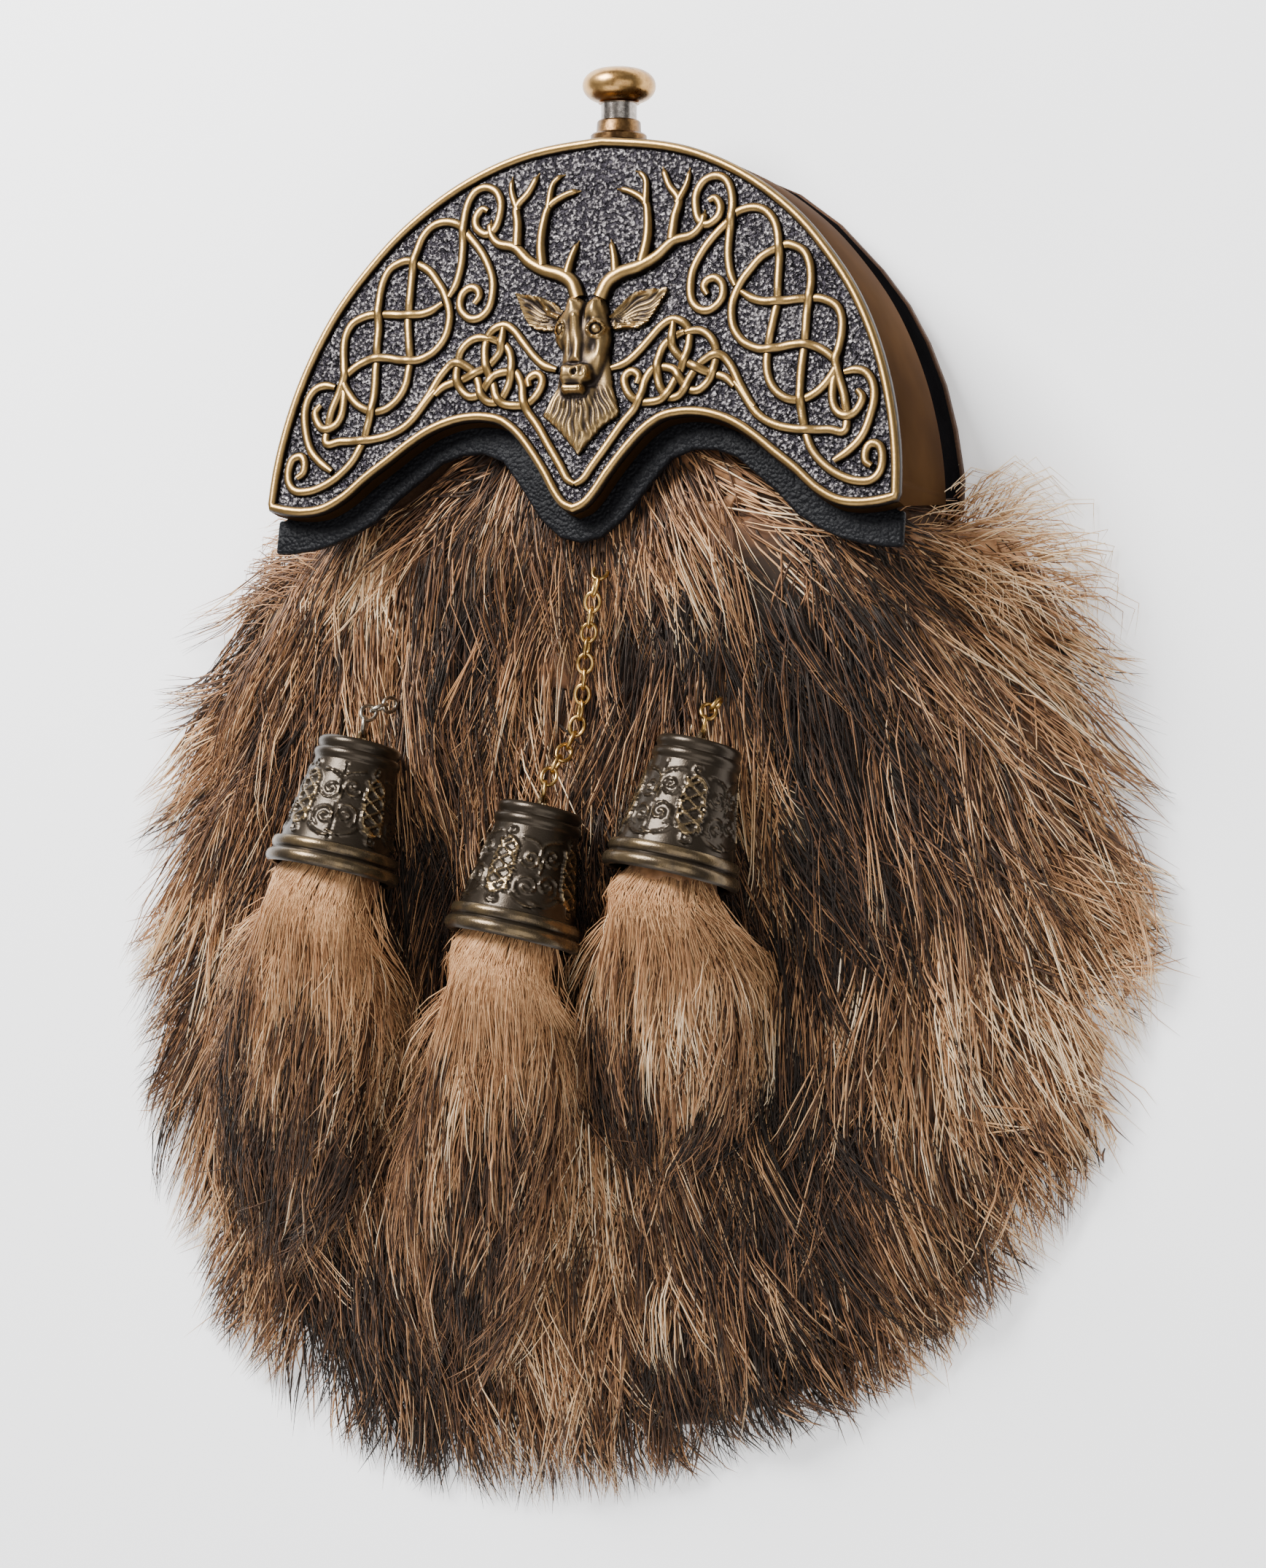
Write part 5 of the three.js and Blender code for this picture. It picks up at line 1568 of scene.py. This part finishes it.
relief = np.zeros_like(turns)
foliage = np.zeros_like(turns)
for middle in np.radians((-132, -44, 44, 132)):
    u = round_from(middle)
    near_panel = np.abs(u) < 11
    for worked, lines, half in ((relief, plait, 0.45), (foliage, scrolls, 0.38)):
        found = line_relief(u[near_panel], alongs[near_panel], lines, half)
        worked[near_panel] = np.maximum(worked[near_panel], found)
seam = np.zeros_like(turns)
for middle in (0.0, math.pi):
    aside = np.abs(round_from(middle))
    beads = 0.5 + 0.5 * np.cos(2 * math.pi * alongs / seam_bead)
    seam += np.where(aside < 0.28, -0.8, 0.0) + 0.5 * beads * np.exp(-((aside - 0.6) / 0.3) ** 2)
within_body = (alongs > body_start + 0.5) & (alongs < body_end - 0.4)
worked = np.where(within_body, 0.62 * relief + 0.42 * foliage * (relief < 0.2) + 0.3 * seam, 0)
outside = body + worked
for level, half, base, high in end_rings:
    arch = np.clip(1 - ((alongs - level) / half) ** 2, 0, 1)
    outside = np.where(arch > 0, np.maximum(outside, base + high * np.sqrt(arch)), outside)
bell_shine = np.where(
    within_body, 0.12 + 0.62 * relief + 0.36 * foliage + 0.2 * seam.clip(0, 1),
    0.12 + 0.42 * ((outside - body) / 1.2).clip(0, 1) ** 2,
)
plain_shine = 0.1
eyelet_radius = 1.7
eyelet_shine = 0.7
radii = np.vstack([
    np.full(bell_steps, top_row[0]), outside,
    *[np.full(bell_steps, radius) for radius, _ in inner_rows],
])
levels = np.array([top_row[1], *bell_rows, *[level for _, level in inner_rows]])
shines = np.full(radii.shape, plain_shine)
shines[1:1 + len(bell_rows)] = bell_shine
bell_faces = ring_faces(len(levels), bell_steps)
first_pole = radii.size
last_row = first_pole - bell_steps
for c in range(bell_steps):
    d = (c + 1) % bell_steps
    bell_faces += [(first_pole, d, c), (first_pole + 1, last_row + c, last_row + d)]
bell_dark = rubbed_brass("bell_brass", (0.034, 0.025, 0.0165), (0.38, 0.26, 0.125), 0.14)
for side, tassel in tassels.items():
    axis = tassel["axis"]
    level = np.cross(axis, (0, 0, 1))
    level /= np.linalg.norm(level)
    upward = np.cross(level, axis)
    round_it = bell_turns + math.radians(tassel["turn"])
    rounds = np.cos(round_it)[:, None] * upward - np.sin(round_it)[:, None] * level
    rows = tassel["top"] + radii[..., None] * rounds + levels[:, None, None] * axis
    poles = [tassel["top"] + top_row[1] * axis, tassel["top"] + inner_rows[-1][1] * axis]
    points = np.concatenate([rows.reshape(-1, 3), poles])
    eyelet_ring = (
        tassel["top"] - 1.1 * axis + eyelet_radius * np.cos(link_turn)[:, None] * axis
        + eyelet_radius * np.sin(link_turn)[:, None] * upward
    )
    eyelet_points, eyelet_faces = tube(eyelet_ring, 0.5)
    all_points, all_faces = joined([(points, bell_faces), (eyelet_points, eyelet_faces)])
    bell = new_piece(f"bell_{side}", in_frame(all_points), all_faces, bell_dark, 40)
    poles_shine = (plain_shine, plain_shine)
    eyelet_shines = np.full(len(eyelet_points), eyelet_shine)
    shine = np.concatenate([shines.reshape(-1), poles_shine, eyelet_shines])
    tell_points(bell.data, "rubbed", shine.clip(0, 1))
    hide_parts(f"cone_{side}")
    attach(bell, "pouch")


# The hair of a tassel is a tail of the same animal: a soft light undercoat comes out of the
# bell's mouth, and long dark and cream guard hair lies below it in pointed locks.
tail_finish = hair_finish("tassel_fur", pelt_colours)
tone_places = (0.0, 0.12, 0.3, 0.6, 0.8)
core_smoothings = 12
drawn_together = 0.16
pale_share = 0.17
at_mouth_share = 0.6
pelt_grid = np.stack(np.meshgrid(pelt_x, pelt_y), axis=-1)
tassel_coats = {
    "soft": (190, 6, 19, 1.8, 0.3),
    "guard": (170, 9, 33, 3.4, 0.36),
}
for side, tassel in tassels.items():
    heading = tassel["tip"] - tassel["start"][:2]
    long = np.linalg.norm(heading)
    across = np.array((-heading[1], heading[0])) / long

    def share_along(places):
        """How far along the tassel places are: 0 at the bell's mouth and 1 at the tip."""
        return (places[..., :2] - tassel["start"][:2]) @ heading / long ** 2

    def along_tail(root, out):
        """Along the tassel, spreading near the bell and closing towards the tip."""
        aside = (root[:, :2] - tassel["start"][:2]) @ across / 30
        spread = np.clip(0.35 - share_along(root), -0.5, 0.3)
        flat = heading / long + spread[:, None] * aside[:, None] * across
        return np.concatenate([flat, np.full((len(root), 1), -0.12)], axis=1)

    def tail_tone(root):
        """The tones from the bell's mouth to the tip."""
        return np.interp(share_along(root), tone_places, tassel["tones"])

    def outer_faces(normal, middle):
        """Faces below the bell's mouth count, and most of all those that look outward."""
        return (normal[:, 2] > -0.75) * (1.3 - normal[:, 2]) * (share_along(middle) > 0.02)

    core = like_node(f"tail_{side}", f"tassel_core_{side}")
    soft_skin(core, core_smoothings)
    core_points = points_of(core)
    share = share_along(core_points)
    aside = (core_points[:, :2] - tassel["start"][:2]) @ across
    core_points[:, :2] -= drawn_together * aside[:, None] * across
    core_points[:, 2] -= np.interp(share, (0, 0.15), (2.5, 1.5))
    move_points(core, core_points)
    tell_points(core.data, "tone", np.interp(share, (0.15, 0.4), (0.52, 0.12)))
    core.data.materials.append(tail_finish)
    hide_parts(f"tail_{side}")
    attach(core, "pouch")
    under = hair_piece(
        f"tassel_sides_{side}",
        *hair_over(core, 900, 18, lambda root: 3.4, 0.3, along_tail, tail_tone, outer_faces),
        tail_finish)

    core_surface = surface_of(core)
    tops = soft_lie.copy()
    for j, i in np.argwhere(np.abs(share_along(pelt_grid) - 0.5) < 0.7):
        tops[j, i] = max(tops[j, i], height_under(core_surface, pelt_x[i], pelt_y[j]))
    tops = np.maximum(softened(tops, 4), softened(tops, 1)) + 1.0
    for coat, (count, each, length, rise, width) in tassel_coats.items():
        tuft_s = random.uniform(-0.1, 0.8, count)
        if coat == "soft":
            at_mouth = random.random(count) < at_mouth_share
            tuft_s = np.where(at_mouth, random.uniform(-0.12, 0.2, count), tuft_s)
        tuft_a = random.uniform(-1.0, 1.0, count)
        tuft = np.repeat(np.arange(count), each)
        s0 = tuft_s[tuft] + random.normal(0, 0.025, len(tuft))
        a0 = tuft_a[tuft] + random.normal(0, 0.09, len(tuft))
        tuft_length = length * random.uniform(0.75, 1.2, count) / long
        reach = tuft_length[tuft] * random.uniform(0.7, 1.1, len(tuft))
        reach = np.minimum(reach, np.maximum(0.1, 1.06 + random.normal(0, 0.03, len(tuft)) - s0))
        drift = random.normal(0, 0.16, count)[tuft] + random.normal(0, 0.08, len(tuft))
        s = s0[:, None] + reach[:, None] * hair_share
        a = a0[:, None] + drift[:, None] * hair_share
        a += 0.55 * hair_share ** 1.5 * (tuft_a[tuft] - a0)[:, None]
        half = np.interp(s, (-0.12, 0.0, 0.12, 0.3, 0.65, 0.85, 1.0, 1.1), (
            6.5, 12.2, 16, 9 + 0.75 * tassel["spread"], 9 + tassel["spread"],
            5 + 0.9 * tassel["spread"], 0.62 * tassel["spread"], 0.4 * tassel["spread"]))
        px = tassel["start"][0] + heading[0] * s + across[0] * a * half
        py = tassel["start"][1] + heading[1] * s + across[1] * a * half
        round_mouth = tassel["start"][2] + np.interp(s, (-0.12, 0), (6.5, 12.0)) * np.sqrt(
            np.clip(1 - a ** 2, 0, 1)) + 5 * np.minimum(s, 0) + 10 * np.maximum(s, 0)
        out_of_bell = np.clip(s / 0.16, 0, 1) ** 1.5
        lift = (rise * random.uniform(0.2, 1.2, count))[tuft] * random.uniform(0.6, 1.3, len(tuft))
        arch = np.sin(np.pi * np.minimum(1, 0.1 + 0.92 * hair_share)) * lift[:, None]
        on_top = height_on(tops, px, py)
        pz = round_mouth + (on_top + 0.6 - round_mouth) * out_of_bell + arch * out_of_bell
        pz = np.where(s > 0.1, np.maximum(pz, on_top + 0.3), pz)
        spines = np.stack([px, py, np.maximum(lowest_hair, pz)], axis=2)
        widths = tapering(len(tuft), width, 0.8, 0.08)
        streaks = np.array([
            0.5 * noise.noise(Vector((2.6 * ta + 9.0, 2.1 * ts, tassel["turn"] / 7)))
            + 0.3 * noise.noise(Vector((7.0 * ta, 3.7 * ts, 5.5)))
            for ta, ts in zip(tuft_a, tuft_s)
        ])
        out = np.interp(tuft_s, (0.08, 0.3), (0, 1))
        tuft_tone = np.interp(tuft_s, tone_places, tassel["tones"])
        tuft_tone = tuft_tone + out * (streaks + random.normal(0, 0.11, count))
        apart = random.choice((-0.15, 0.0, 0.18), len(tuft), p=(0.4, 0.35, 0.25))
        tone = tuft_tone[tuft] + apart * np.interp(s0, (0.1, 0.3), (0.2, 1.1))
        pale = (random.random(len(tuft)) < pale_share) & (s0 > 0.06)
        band = np.array((-0.2, -0.04, 0.06, 0.14)) * np.interp(s0, (0, 0.2), (0.4, 1.3))[:, None]
        tones = tone[:, None] + band + pale[:, None] * np.array((0.0, 0.15, 0.35, 0.5))
        hair = hair_piece(
            f"tassel_{coat}_{side}", in_frame(spines), widths * mm, np.clip(tones, 0.02, 1),
            tail_finish)
